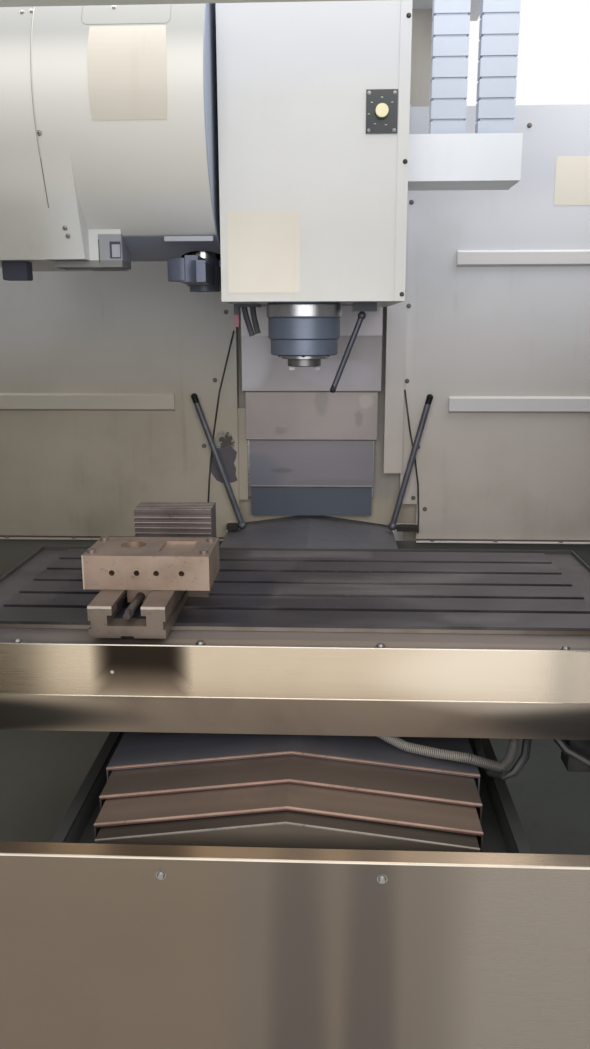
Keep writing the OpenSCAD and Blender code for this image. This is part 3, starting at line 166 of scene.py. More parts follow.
class Graph(Tree):
    """The node tree of one material."""

    def __init__(self, name: str) -> None:
        """Starts a material with its Principled shader and its Object coordinates."""
        self.material = bpy.data.materials.new(name)
        self.material.use_nodes = True
        super().__init__(self.material.node_tree)
        self.shader = self.tree.nodes["Principled BSDF"]
        self.place = self.node("ShaderNodeTexCoord", {}, {}, "Object")
        self.x, self.y, self.z = (self.node("ShaderNodeSeparateXYZ", {}, {0: self.place}, i) for i in range(3))

    def node(self, kind: str, settings: Dict[str, Any], values: Dict[Any, Any], out: Any = 0) -> Wire:
        """Adds one node and returns one of its outputs as a wire."""
        return Wire(self, self.add(kind, settings, values).outputs[out])

    def noise(self, scale: float, detail: float = 3.0, stretch: Point = (1, 1, 1), shift: float = 0.0,
              twist: float = 0.0) -> Wire:
        """Soft noise over the surface, stretched along the axes with small factors."""
        spot = self.node("ShaderNodeMapping", {}, {"Vector": self.place, "Location": (shift, shift * 0.7, -shift),
                                                   "Scale": stretch})
        return self.node("ShaderNodeTexNoise", {}, {"Vector": spot, "Scale": scale, "Detail": detail,
                                                    "Distortion": twist})

    def mix(self, factor: Amount, first: Any, second: Any) -> Wire:
        """A colour between two colours."""
        first, second = (c if isinstance(c, Wire) else (*linear(c), 1.0) for c in (first, second))
        return self.node("ShaderNodeMix", {"data_type": "RGBA"}, {0: factor, 6: first, 7: second}, 2)

    def patches(self, body: Wire, gloss: Amount, spots: Sequence["Spot"], rough: float) -> Tuple[Wire, Amount]:
        """Lays uneven patches over a colour and a roughness.

        Args:
            body: The colour under them.
            gloss: The roughness under them.
            spots: The patches, the last on top.
            rough: Mean roughness of the surface.

        Returns:
            The colour and the roughness with the patches.
        """
        for spot in spots:
            edge = self.near(spot.at, spot.reach, spot.square)
            if spot.ragged:
                edge = edge + (self.noise(spot.grain, 5, shift=7.0) - 0.5) * spot.ragged * 3.0
            # Amount of the patch: wear and stains, and at many spots painted light and shade.
            wear_and_painted_light = edge.step(PATCH_EDGE - spot.soft, PATCH_EDGE + spot.soft) * spot.full
            body = self.mix(wear_and_painted_light, body, spot.colour)
            gloss = gloss + (spot.rough - rough) * wear_and_painted_light
        return body, gloss

    def near(self, spot: Point, reach: Point, square: bool = False) -> Wire:
        """1 at a spot, 0 outside an ellipsoid or a box of that reach; an axis with no reach doesn't count."""
        total: Amount = 0.0
        for wire, middle, size in zip((self.x, self.y, self.z), spot, reach):
            if size:
                part = (wire - middle) / size
                total = (part * part).high(total) if square else part * part + total
        return 1.0 - total

    def finish(self, colour: Wire, roughness: Amount, metallic: Amount = 0.0, relief: Optional[Wire] = None,
               depth: float = 0.0, coat: float = 0.0) -> bpy.types.Material:
        """Links the maps to the shader.

        Args:
            colour: Base colour.
            roughness: Roughness map.
            metallic: Metal share.
            relief: Height map of the bump.
            depth: Height of the bump in metres.
            coat: Weight of a clear coat.

        Returns:
            The material.
        """
        links, ins = self.tree.links, self.shader.inputs
        links.new(colour.socket, ins["Base Color"])
        for name, value in (("Roughness", roughness), ("Metallic", metallic)):
            if isinstance(value, Wire):
                links.new(value.socket, ins[name])
            else:
                ins[name].default_value = value
        ins["Coat Weight"].default_value = coat
        if relief is not None:
            bump = self.node("ShaderNodeBump", {}, {"Strength": 1.0, "Distance": depth, "Height": relief})
            links.new(bump.socket, ins["Normal"])
        return self.material


@dataclass(frozen=True)
class Finish:
    """What every finish has: a way to make its material."""

    colour: Colour

    def material(self, name: str) -> bpy.types.Material:
        """Makes the material of that name."""
        raise NotImplementedError


@dataclass(frozen=True)
class Spot:
    """An uneven patch of another colour, such as worn paint, an oil stain, painted shade, a painted highlight and a
    painted reflection.
    """

    at: Point
    reach: Point
    colour: Colour
    rough: float = 0.6
    ragged: float = 0.9
    grain: float = 26.0
    full: float = 1.0
    soft: float = 0.12
    square: bool = False


@dataclass(frozen=True)
class Paint(Finish):
    """Machine paint on sheet or castings: soft clouds, runs of dried coolant, specks, orange peel, and where given a
    lighter top that is painted light and a darker bottom.
    """

    shade: Colour
    grime: Colour = 0x615545
    dirt: float = 0.25
    rough: float = 0.42
    peel: float = 0.00008
    low: Optional[Tuple[float, float, float]] = None
    # Heights and colour of a lighter upper part: painted light.
    painted_light_top: Optional[Tuple[float, float, Colour]] = None
    spots: Tuple[Spot, ...] = ()

    def material(self, name: str) -> bpy.types.Material:
        """Makes the painted material."""
        g = Graph(name)
        clouds = g.noise(1.7, 4).step(0.3, 0.7)
        runs = g.noise(1.0, 5, (26, 26, 1.3), 3.0).step(0.52, 0.78)
        veil = g.noise(5.5, 5, shift=9.0).step(0.42, 0.75)
        specks = g.noise(170, 2, shift=4.0).step(0.7, 0.76)
        paint = g.mix(clouds * 0.7 + runs * 0.15, self.colour, self.shade)
        # Painted light: the upper part blends into a lighter tone.
        if self.painted_light_top:
            start, end, other = self.painted_light_top
            paint = g.mix(g.z.step(start, end), paint, other)
        soil = runs * veil * 0.7 + veil * 0.25
        # Darker towards the bottom, in the grime colour.
        if self.low:
            top, bottom, more = self.low
            soil = soil + (1.0 - g.z.step(bottom, top)) * (veil * 0.6 + 0.4) * more
        mask = (soil * self.dirt + specks * self.dirt * 0.6).low(0.95)
        body = g.mix(mask, paint, self.grime)
        gloss = g.noise(30, 3).step(0.2, 0.9) * 0.08 + self.rough + mask * 0.18
        body, gloss = g.patches(body, gloss, self.spots, self.rough)
        relief = g.noise(900, 2) + specks * 0.6
        return g.finish(body, gloss, 0.0, relief, self.peel)


@dataclass(frozen=True)
class Brushed(Finish):
    """Rolled or brushed stainless sheet: fine grain along one axis, broad tone bands and smears, and where given a
    darker sheet below a fold, which is painted shade.
    """

    shade: Colour
    along: Axis = Axis.X
    rough: float = 0.3
    smear: Colour = 0x595045
    dirt: float = 0.3
    metal: float = 1.0
    depth: float = 0.00003
    bands: float = 5.0
    fold: Optional[Tuple[float, Colour, float, float]] = None
    dull: Optional[Tuple[float, float, float]] = None
    spots: Tuple[Spot, ...] = ()

    def material(self, name: str) -> bpy.types.Material:
        """Makes the brushed material."""
        g = Graph(name)
        fine = tuple(4.0 if i == self.along.value else 700.0 for i in range(3))
        broad = tuple(0.25 if i == self.along.value else self.bands for i in range(3))
        grain = g.noise(1.0, 3, fine)
        band = g.noise(1.0, 2, broad, 5.0).step(0.3, 0.7)
        film = g.noise(4.5, 6, shift=2.0, twist=0.4).step(0.4, 0.75)
        dots = g.noise(120, 3, shift=6.0).step(0.68, 0.8)
        body = g.mix(band * 0.75 + grain * 0.25, self.colour, self.shade)
        soil = (film * self.dirt + dots * self.dirt * 0.5).low(0.9)
        body = g.mix(soil, body, self.smear)
        gloss = grain * 0.12 + self.rough - 0.06 + soil * 0.25
        metal: Amount = self.metal
        if self.dull:
            start, end, matt = self.dull
            metal = g.x.step(start, end) * (matt - self.metal) + self.metal
        # Painted shade: below the fold the sheet turns darker, with its own roughness and metal.
        if self.fold:
            height, colour, rough, metallic = self.fold
            under = 1.0 - g.z.step(height - FOLD_EDGE, height + FOLD_EDGE)
            body = g.mix(under * (0.75 + film * 0.25), body, colour)
            gloss = gloss + under * (rough - self.rough)
            metal = under * (metallic - metal) + metal
        body, gloss = g.patches(body, gloss, self.spots, self.rough)
        return g.finish(body, gloss, metal, grain, self.depth)


@dataclass(frozen=True)
class Iron(Finish):
    """Planed cast iron with oil, wiped patches and fine scratches."""

    shade: Colour
    wiped: Colour
    rough: float = 0.38
    metal: float = 0.55
    spots: Tuple[Spot, ...] = ()

    def material(self, name: str) -> bpy.types.Material:
        """Makes the iron material."""
        g = Graph(name)
        lay = g.noise(1.0, 3, (5, 320, 40))
        oil = g.noise(3.2, 6, shift=1.0, twist=0.8).step(0.38, 0.66)
        wipe = g.noise(2.0, 4, (1.0, 3.2, 1.0), 8.0, 0.5).step(0.5, 0.74)
        pits = g.noise(260, 2, shift=2.0).step(0.64, 0.74)
        scratch = g.noise(1.0, 2, (14, 190, 14), 5.0, 1.6).step(0.66, 0.7)
        body = g.mix(oil, self.colour, self.shade)
        body = g.mix(wipe * 0.55 + scratch * 0.18, body, self.wiped)
        body = g.mix(pits * 0.35, body, self.shade)
        gloss = self.rough + wipe * 0.12 + lay * 0.12 - oil * 0.08
        body, gloss = g.patches(body, gloss, self.spots, self.rough)
        return g.finish(body, gloss, self.metal, lay + pits * -0.6, 0.00004)


@dataclass(frozen=True)
class Machined(Finish):
    """Turned, ground or oxidised steel with light stains and handling marks."""

    stain: Colour = 0x594538
    along: Axis = Axis.X
    rough: float = 0.28
    dirt: float = 0.2
    metal: float = 1.0
    depth: float = 0.00003
    spots: Tuple[Spot, ...] = ()

    def material(self, name: str) -> bpy.types.Material:
        """Makes the machined material."""
        g = Graph(name)
        lines = g.noise(1.0, 2, tuple(20.0 if i == self.along.value else 900.0 for i in range(3)))
        cloud = g.noise(14, 5, shift=3.0).step(0.35, 0.75)
        flecks = g.noise(90, 4, shift=5.0).step(0.6, 0.72)
        body = g.mix((cloud * self.dirt + flecks * self.dirt * 0.8).low(0.9), self.colour, self.stain)
        gloss = self.rough + lines * 0.1 + cloud * 0.14 * self.dirt
        body, gloss = g.patches(body, gloss, self.spots, self.rough)
        return g.finish(body, gloss, self.metal, lines, self.depth)


@dataclass(frozen=True)
class Moulded(Finish):
    """Plastic or rubber with a fine grain, dust in the grain and rubbed places."""

    dust: Colour = 0x898681
    rough: float = 0.5
    dirt: float = 0.25
    grain: float = 700.0
    depth: float = 0.00006
    coat: float = 0.0
    spots: Tuple[Spot, ...] = ()

    def material(self, name: str) -> bpy.types.Material:
        """Makes the moulded material."""
        g = Graph(name)
        pores = g.noise(self.grain, 2)
        film = g.noise(9, 5, shift=2.0).step(0.4, 0.8)
        body = g.mix((film * self.dirt + pores.step(0.6, 0.8) * self.dirt * 0.4).low(0.9), self.colour, self.dust)
        body, gloss = g.patches(body, self.rough + film * 0.12, self.spots, self.rough)
        return g.finish(body, gloss, 0.0, pores, self.depth, self.coat)


COVER = partial(Brushed, dirt=0.4, rough=0.38, metal=0.6, smear=0x382E2A, bands=9.0)
UPRIGHT = partial(Brushed, dirt=0.22, rough=0.42, metal=0.35, smear=0x80787A)
# Name of each coat: its finish, and the CAD nodes that wear it.
COATS: Dict[str, Tuple[Finish, str]] = {
    # The head's paint turns lighter and bluer towards the top: painted light.
    "head_paint": (Paint(0xC8C6C2, 0xC0BEBA, rough=0.38, dirt=0.12, painted_light_top=(1.75, 2.05, 0xD3D2D0), spots=(
        Spot((0, 0, 2.56), (0, 0, 0.42), 0xC7C8CC, 0.38, 0, soft=0.34),)), "head_cover"),
    "drum_paint": (Paint(0xCECCC5, 0xC5C2BA, rough=0.38, dirt=0.14, low=(2.0, 1.82, 0.5), spots=(
        # Painted shade: a darker top.
        Spot((0, 0, 2.58), (0, 0, 0.42), 0xA8A7A3, 0.4, 0, soft=0.34),
        # Painted light: a lighter band low on the front.
        Spot((-0.33, 0, 1.93), (0.34, 0, 0.16), 0xD9D9D7, 0.4, 0, soft=0.34, square=True),
        # Painted shade: a dark bluish underside.
        Spot((-0.33, -0.077, 1.8), (0.25, 0.2345, 0.0967), 0x868B9A, 0.45, 0.02, 4.0, soft=0.05, square=True),
        # Painted shadow in the corner by the chute.
        Spot((-0.484, -0.28, 1.84), (0.0365, 0.022, 0.05), 0x92949C, 0.45, 0.02, 4.0, 0.9, 0.06, True),
        # Painted shade along the lower lip.
        Spot((-0.54, 0, 1.8), (0.12, 0, 0.022), 0x7A7A78, 0.5, 0.02, 4.0, 0.9, 0.04, True),
        # Painted light: a lighter middle of the front.
        Spot((0, -0.33, 2.12), (0, 0.25, 0.2), 0xDEDBD4, 0.4, 0, soft=0.34),
        # Painted shade: a bluish right end face.
        Spot((-0.215, 0, 0), (0.004, 0, 0), 0x9EA6B6, ragged=0))), "drum_cover"),
    # A lighter, bluer white than the head's paint: painted light on the shaded bracket.
    "bracket_paint_with_painted_light": (Paint(0xE6E9EE, 0xDEE1E6, rough=0.38, dirt=0.05), "cable_bracket chain_support"),
    # Painted light: the panel turns lighter and bluer upward, with a bluish grey top.
    "rear_paint": (Paint(0xC6BDB5, 0xBAB1A9, rough=0.42, dirt=0.26, grime=0x76685A, low=(1.5, 0.9, 0.7),
        painted_light_top=(1.2, 1.95, 0xCDCED3), spots=(
        Spot((0, 0.478, 0), (0, 0.0125, 0), 0xD1CECD, 0.4, 0, soft=0.05),
        Spot((0, 0, 2.32), (0, 0, 0.3), 0xBEC0C6, 0.4, 0, soft=0.34),
        Spot((0.345, 0.44, 0.96), (0.11, 0.06, 0.03), 0x282422, ragged=0.1))), "rear_panel_right"),
    # A darker copy of the rear panels' paint: painted shade cast by the magazine cover. It turns lighter and bluer
    # upward: painted light.
    "left_paint_with_painted_shade": (Paint(0xB6AC9C, 0xAAA091, rough=0.42, dirt=0.3, grime=0x6A5E4C, low=(1.6, 0.9, 0.8),
        painted_light_top=(1.3, 1.75, 0xBDBCBB), spots=(
        Spot((0, 0.478, 0), (0, 0.0125, 0), 0xBCB5A8, 0.4, 0, soft=0.05),
        Spot((-0.304, 0.494, 1.262), (0.045, 0.05, 0.045), 0x969086, 0.6, 0.5, 60.0),
        Spot((-0.296, 0.494, 1.256), (0.03, 0.05, 0.035), 0x544E4A, 0.6, 0.95, 90.0),
        Spot((-0.27, 0.45, 0.96), (0.06, 0.05, 0.03), 0x282422, ragged=0.1))), "rear_panel_left"),
    "guard_paint": (Paint(0xCBCAC4, 0xC2C0BA, rough=0.38, dirt=0.14),
        "side_walls front_fascia door_left door_right electrical_cabinet cabinet_door"),
    "cast_paint": (Paint(0x969896, 0x8A8B88, rough=0.5, dirt=0.4, grime=0x463E34, peel=0.0004),
        "saddle_casting head_casting atc_gearbox"),
    # Lighter than the cast paint of the other castings: painted light in the column's shaded gap.
    "column_paint_with_painted_light": (Paint(0xACA69E, 0x9E9890, rough=0.5, dirt=0.35, grime=0x5C5246, peel=0.0004), "column_casting"),
    "bed_paint": (Paint(0x464644, 0x3A3A38, rough=0.45, dirt=0.5, grime=0x28241E, peel=0.0003), "base_casting"),
    "roof_paint": (Paint(0x646268, 0x56545A, rough=0.42, dirt=0.4), "rear_roof"),
    "pan_paint": (Paint(0x666865, 0x585A57, rough=0.42, dirt=0.4, grime=0x38342E, peel=0.0003, spots=(
        # Painted light: the pan is lighter towards the left.
        Spot((-0.95, 0, 0), (0.5, 0, 0), 0x7A776C, 0.42, 0.3, 9.0, 0.8, 0.34),
        *(Spot((x, 0, 0.7), (0.022, 0, 0.008), 0x303030, 0.5, 0.1, 9.0, 0.9, 0.1, True)
            for x in (-0.442, 0.442)))), "chip_pan"),
    "strip_paint": (Paint(0x4C5462, 0x424956, rough=0.42, dirt=0.2), "z_cover_strip"),
    "motor_paint": (Paint(0x222326, 0x1A1B1E, rough=0.45, dirt=0.3), "axis_motors x_servo_motor spindle_motor"),
    "ground_steel": (Machined(0xBEBEBE, rough=0.2),
        "way_rails x_rails y_ball_screw x_ball_screw z_ball_screw arm_sleeve levelling_feet"),
    "vise_screw_oil": (Machined(0x423C38, 0x221E1C, rough=0.42, dirt=0.6, metal=0.4), "vise_screw"),
    "spindle_steel": (Machined(0x807E80, 0x3C3634, Axis.Z, 0.34, 0.5, 0.9), "tool_spindle"),
    "pot_steel": (Machined(0x78787A, rough=0.35), "tool_magazine"),
    "table_iron": (Iron(0x565154, 0x3C393C, 0x7A7470, spots=(
        # Painted reflection: a lighter band across the table near its rear.
        Spot((0.023, -0.264, 1.055), (0.203, 0.046, 0.01), 0x807C7E, 0.42, 0.05, 12.0, 0.4, 0.08, True),
        Spot((-0.14, -0.6, 1.055), (0.1, 0.3, 0), 0x262836, 0.34, 0.35, 9.0, 0.6, 0.34),
        Spot((-0.475, -0.55, 1.055), (0.1, 0.3, 0), 0x282A36, 0.34, 0.35, 9.0, 0.55, 0.34))), "table"),
    "trough_sheet": (Brushed(0x5C5756, shade=0x504C4B, dirt=0.4, rough=0.46, metal=0.3, smear=0x342E2C, spots=(
        Spot((0.1, -0.88, 1.03), (0.8, 0.06, 0), 0x7A6E66, 0.44, 0.2, 6.0, 0.75, 0.3),
        Spot((0.1, -0.898, 1.038), (0.6, 0.02, 0.006), 0x867667, 0.4, 0.15, 8.0, 0.8, 0.3))), "table_trough"),
    "apron_sheet": (Brushed(0xD0C0AB, shade=0xC3B29B, dirt=0.12, rough=0.24, smear=0x8C765E,
        # Painted shade: the return below the fold is darker.
        fold=(0.943, 0x847466, 0.45, 0.3), dull=(0.45, 0.58, 0.15), spots=(
        # Painted light: the apron turns lighter towards the right.
        Spot((-0.8, -0.951, 1.0), (0.5, 0, 0), 0xD4C1A8, 0.3, 0.05, 2.0, 0.6, 0.34),
        Spot((0.6, -0.951, 1.0), (0.5, 0, 0.12), 0xE4D7C6, 0.24, 0.05, 2.0, 0.8, 0.34),
        # Painted reflection of the vise: a dark patch under it.
        Spot((-0.2955, -0.951, 1.03), (0.104, 0, 0.1), 0x5C4E40, 0.4, 0.1, 5.0, 0.85, 0.42, True),
        Spot((-0.2955, -0.951, 1.07), (0.1, 0, 0.1), 0x1A1511, 0.42, 0.1, 5.0, 0.9, 0.42, True),
        Spot((-0.352, -0.951, 0.994), (0.0045, 0, 0.004), 0xCEC2B2, 0.5, 0.2, 200.0),
        # Painted shade: darker ends of the return.
        Spot((-0.8, -0.92, 0.88), (0.55, 0, 0.075), 0x2C2A27, 0.55, 0.05, 2.0, 0.95, 0.34),
        Spot((0.8, -0.92, 0.88), (0.5, 0, 0.075), 0x44413F, 0.55, 0.05, 2.0, 0.9, 0.34))), "table_apron"),
    "sill_sheet": (Brushed(0x807365, shade=0x74675A, dirt=0.12, rough=0.3, smear=0x5E5145, bands=2.0, spots=(
        # Painted light and painted reflections: lighter towards the right, darker in the middle, and two dark vertical
        # reflection bands.
        Spot((0.75, -1.267, 0.5), (0.66, 0, 0), 0x938A80, 0.28, 0.06, 2.0, 0.9, 0.34),
        Spot((0.1, -1.267, 0.5), (0.24, 0, 0), 0x70675F, 0.32, 0.06, 2.0, 0.6, 0.34),
        Spot((0.024, -1.267, 0.1), (0.064, 0, 1.2), 0x544E4C, 0.34, 0.05, 3.0, 0.6, 0.5),
        Spot((0.148, -1.267, 0.2), (0.056, 0, 1.1), 0x544E4C, 0.34, 0.05, 3.0, 0.6, 0.5))), "front_sill"),
    # The four plates are one steel; their tones differ with the light that reaches them: painted light and shade.
    "cover_sheet_1": (COVER(0x767780, 0x62636C), "y_cover_1"),
    "cover_sheet_2": (COVER(0x6B6159, 0x544B45), "y_cover_2"),
    "cover_sheet_3": (COVER(0x7D6D60, 0x62544B), "y_cover_3"),
    "cover_sheet_4": (COVER(0x423C36, 0x342F2A, spots=(
        # Painted light on the plate's front edge.
        Spot((0, -1.1735, 0), (0, 0.004, 0), 0x7C7165, 0.46, 0, soft=0.1),)), "y_cover_4"),
    "z_cover_1_sheet": (UPRIGHT(0xA39FA3, 0x999599, spots=(
        Spot((-0.24, 0.49, 1.56), (0.12, 0, 0.16), 0xBEBEC6, 0.45, 0.05, 3.0, 0.7, 0.34),
        # A bluish grey band above the step, lightened as painted light.
        Spot((0, 0.49, 1.76), (0, 0, 0.17), 0xC4C0C6, 0.45, 0, soft=0.015),
        Spot((0.09, 0.49, 1.5), (0.16, 0, 0.05), 0xA09CA6, 0.4, 0.1, 3.0, 0.7, 0.3))), "z_cover_1"),
    "z_cover_2_sheet": (UPRIGHT(0xA09795, 0x948B8A, spots=(
        Spot((0.038, 0.497, 1.394), (0.03, 0, 0.055), 0x70726E, 0.45, 0.55, 24.0, 0.34, 0.35),
        Spot((0.168, 0.497, 1.343), (0.017, 0, 0.034), 0x686464, 0.5, 0.6, 40.0, 0.34, 0.35),
        Spot((-0.106, 0.497, 1.297), (0.028, 0, 0.017), 0x686464, 0.5, 0.7, 50.0, 0.3, 0.35),
        Spot((0.192, 0.497, 1.4), (0.028, 0, 0.028), 0xBEBEB8, 0.4, 0.7, 40.0, 0.25, 0.35))), "z_cover_2"),
    "z_cover_3_sheet": (UPRIGHT(0x837F84, 0x726F78, spots=(
        Spot((-0.2, 0.5, 1.14), (0.12, 0, 0.09), 0x686C7A, 0.4, 0.1, 5.0, 0.7, 0.33),
        Spot((-0.099, 0.5, 1.157), (0.05, 0, 0.011), 0x58585C, 0.5, 0.4, 40.0, 0.5, 0.35),
        Spot((0.1, 0.5, 1.115), (0.2, 0, 0.014), 0x6E6C72, 0.5, 0.3, 20.0, 0.4, 0.35))), "z_cover_3"),
    "vise_steel": (Machined(0x988577, 0x5E4B40, rough=0.36, dirt=0.4, metal=0.7, spots=(
        Spot((-0.308, -0.732, 1.2), (0.3, 0.3, 0.008), 0x7E726B, 0.4, 0.2, 14.0, 0.9, 0.1, True),
        # Painted highlights on the jaw's top front edge and its left front corner.
        Spot((0, -0.815, 1.2), (0, 0.0035, 0.0035), 0xDED2CA, 0.24, 0.2, 60.0, 0.8, 0.2),
        Spot((-0.44, -0.815, 0), (0.003, 0.003, 0), 0xD0C2B8, 0.24, 0.2, 60.0, 0.6, 0.2),
        Spot((-0.21, -0.815, 1.096), (0.07, 0, 0.014), 0xCCBEAE, 0.4, 0.9, 150.0, 0.7, 0.2),
        # Painted highlights on the bolt heads.
        *(Spot((x, y, 1.207), (0.016, 0.016, 0.013), 0xCEC8C4, 0.24, 0.3, 60.0, 0.8, 0.2) for x in (-0.416, -0.184)
            for y in (-0.718, -0.825)))), "vise_front_jaw"),
    "vise_base": (Machined(0x6E6259, 0x403730, rough=0.38, dirt=0.5, metal=0.6, spots=(
        # Dark blue-black groove: oil, and painted shade in the recess.
        Spot((-0.325, -0.7, 1.09), (0.046, 0.222, 0.028), 0x242634, ragged=0.1, soft=0.03, square=True),
        # Painted highlight along the base's front top edge.
        Spot((0, -0.925, 1.12), (0, 0.003, 0.006), 0xC4B8AC, 0.26, 0.2, 60.0, 0.7, 0.2))), "vise_body"),
    "jaw_steel": (Machined(0x685F5D, 0x3E3533, rough=0.4, dirt=0.5, metal=0.6), "vise_rear_jaw"),
    "cap_oxide": (Machined(0x666F80, 0x4A5262, Axis.Z, 0.4, 0.3, 0.4), "spindle_housing"),
    "arm_oxide": (Machined(0x545A6C, 0x686870, Axis.Z, 0.36, 0.3, 0.4), "change_arm"),
    "pipe_steel": (Machined(0x666872, 0x424040, Axis.Z, 0.34, 0.4, 0.5, spots=tuple(
        Spot(at, (0.026, 0.026, 0.026), 0x161618, 0.5, 0)
        for at in ((-0.394, 0.452, 1.416), (0.402, 0.452, 1.414)))), "wash_pipe_left wash_pipe_right"),
    "nozzle_oxide": (Machined(0x4E505C, 0x3A383C, Axis.Z, 0.36, 0.4, 0.4, spots=(
        Spot((0.072, -0.175, 1.49), (0.014, 0, 0.014), 0x222228, 0.5, 0),)), "head_nozzle"),
    "button_face": (Moulded(0x16222A, rough=0.32, dirt=0.2), "button_plate"),
    "cream_cap": (Moulded(0xE8DEB0, dust=0xBEB082, rough=0.3, dirt=0.2, coat=0.4), "release_button"),
    "red_cap": (Moulded(0xBE1A14, dust=0x781E18, rough=0.3, coat=0.4), "stop_button"),
    "hose_rubber": (Moulded(0x222224, rough=0.5, dirt=0.4), "saddle_hoses wall_wires"),
    "head_hose_rubber": (Moulded(0x383C48, rough=0.5, dirt=0.4, spots=(
        Spot((-0.1905, -0.0735, 1.669), (0.0086, 0, 0.0205), 0x8E4C5A, 0.4, 0, soft=0.03, square=True),)),
            "head_hoses"),
    "chain_nylon": (Moulded(0xBEC6D4, dust=0xD4DAE4, rough=0.45, dirt=0.3), "cable_chains"),
    "console_face": (Moulded(0x404448, rough=0.42, dirt=0.2), "operator_panel"),
    "seam_shadow": (Paint(0x706C64, 0x5C5850, rough=0.5, dirt=0.4), ""),
    "drum_lap": (Paint(0xCECCC6, 0xC4C2BB, rough=0.34, dirt=0.12), ""),
    "lid_gap_grey": (Paint(0x96948E, 0x88857E, rough=0.5, dirt=0.3), ""),
    "blank_plate": (Paint(0xD5CEC2, 0xCFC7B9, rough=0.38, dirt=0.16, grime=0xA89C84, peel=0.00002), ""),
    "gate_rail": (Paint(0xB0B4BE, 0xA4A8B2, rough=0.36, dirt=0.2), ""),
    "sensor_black": (Moulded(0x3E404E, dust=0x5A5C68, rough=0.5), ""),
    "ring_steel": (Machined(0xA8A8AD, rough=0.28, along=Axis.Z, dirt=0.25), ""),
    # Near-white strip on the head's right edge: a painted highlight.
    "head_edge_highlight": (Paint(0xEEEEEC, 0xE6E6E4, rough=0.3, dirt=0.06), ""),
    "pale_mark": (Moulded(0xCECEC8, rough=0.4), ""),
    "lip_pink": (Machined(0xB6988A, 0x685248, rough=0.36, dirt=0.5, metal=0.4), ""),
    "lip_pale": (Machined(0x968E85, 0x5C544C, rough=0.36, dirt=0.5, metal=0.4), ""),
    "wiper_rubber": (Moulded(0x623E38, dust=0x463832, rough=0.5, dirt=0.5), ""),
    "seam_rust": (Paint(0x5C4A3C, 0x3C302A, rough=0.7, dirt=0.8, grime=0x241C18), ""),
    "bare_slate": (Paint(0x5C5860, 0x4E4A52, rough=0.55, dirt=0.5, grime=0x3C3634, peel=0.0002), ""),
    "fold_steel": (Machined(0x989092, 0x70686A, rough=0.38, metal=0.4), ""),
    # Dark strip under each upright plate: painted shadow.
    "upright_shadow_line": (Moulded(0x343032, rough=0.55, dirt=0.4), ""),
    "edge_steel": (Machined(0x68615A, rough=0.4, dirt=0.5, metal=0.6), ""),
    # Near-white strips on the apron's edges: painted highlights.
    "apron_edge_highlight": (Machined(0xEEE8DC, rough=0.24, dirt=0.1), ""),
    # Light steel on the jaw's ridges, much lighter than the jaw: painted highlights.
    "ridge_steel_and_highlight": (Machined(0xCEC2BA, 0x78645A, rough=0.28, dirt=0.5, metal=0.7), ""),
    "conduit_grey": (Moulded(0x8E8981, dust=0x5C544C, rough=0.42, dirt=0.5, spots=(
        Spot((0.52, -0.88, 0.81), (0.2, 0, 0), 0x4E4B48, 0.45, 0.1, 9.0, 0.9, 0.34),)), ""),
    # Painted highlight on the sill's top edge.
    "sill_edge_highlight": (Machined(0xD6CCBE, rough=0.28, dirt=0.15, metal=0.8), ""),
    "window_pane": (Moulded(0x1A1E22, dust=0x60605A, rough=0.08, dirt=0.07, depth=0.00001, coat=0.8), ""),
    "gasket_rubber": (Moulded(0x161617, rough=0.6), ""),
    "screen_glass": (Moulded(0x0E1218, rough=0.06, dirt=0.05, depth=0, coat=0.9), ""),
    "key_caps": (Moulded(0xC4C4BE, dust=0x78746C, rough=0.42, dirt=0.3), ""),
    "knob_black": (Moulded(0x1E1E20, rough=0.4), ""),
    "screw_steel": (Machined(0x969492, rough=0.3), ""),
    # Lighter screws on the drum cover: painted highlights.
    "drum_screw_highlight": (Machined(0xC4C0BA, 0x6E665E, rough=0.24), ""),
    "dark_screw": (Machined(0x3E3C3C, rough=0.38), ""),
    "wall_screw": (Machined(0x706C68, 0x463E36, rough=0.45, dirt=0.5, metal=0.5), ""),
}


class Dresser:
    """Makes each coat's material once and gives it to what wears it."""

    def __init__(self) -> None:
        """Starts with no materials made."""
        self.made: Dict[str, bpy.types.Material] = {}

    def material(self, coat: str) -> bpy.types.Material:
        """The material of a coat, made once."""
        if coat not in self.made:
            self.made[coat] = COATS[coat][0].material(coat)
        return self.made[coat]

    def nodes(self) -> None:
        """Gives every CAD node that stays visible its material."""
        for coat, (_, nodes) in COATS.items():
            for node in nodes.split():
                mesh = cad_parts[node].data
                mesh.materials.clear()
                mesh.materials.append(self.material(coat))
                mesh.polygons.foreach_set("material_index", [0] * len(mesh.polygons))
                LOG.info("node %s wears %s", node, coat)


DRESS = Dresser()


def keep(piece: bpy.types.Object, body: str, coat: str) -> None:
    """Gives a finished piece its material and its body.

    Args:
        piece: The piece, with its place in its mesh.
        body: CAD body it rides on.
        coat: Name of its coat.
    """
    piece.data.materials.clear()
    piece.data.materials.append(DRESS.material(coat))
    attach(piece, body)
    LOG.info("piece %s rides on %s, %d faces", piece.name, body, len(piece.data.polygons))


def to_scene(name: str, data: Any) -> bpy.types.Object:
    """Links an object of that name with a mesh, a lamp or a camera to the scene."""
    made = bpy.data.objects.new(name, data)
    bpy.context.scene.collection.objects.link(made)
    return made


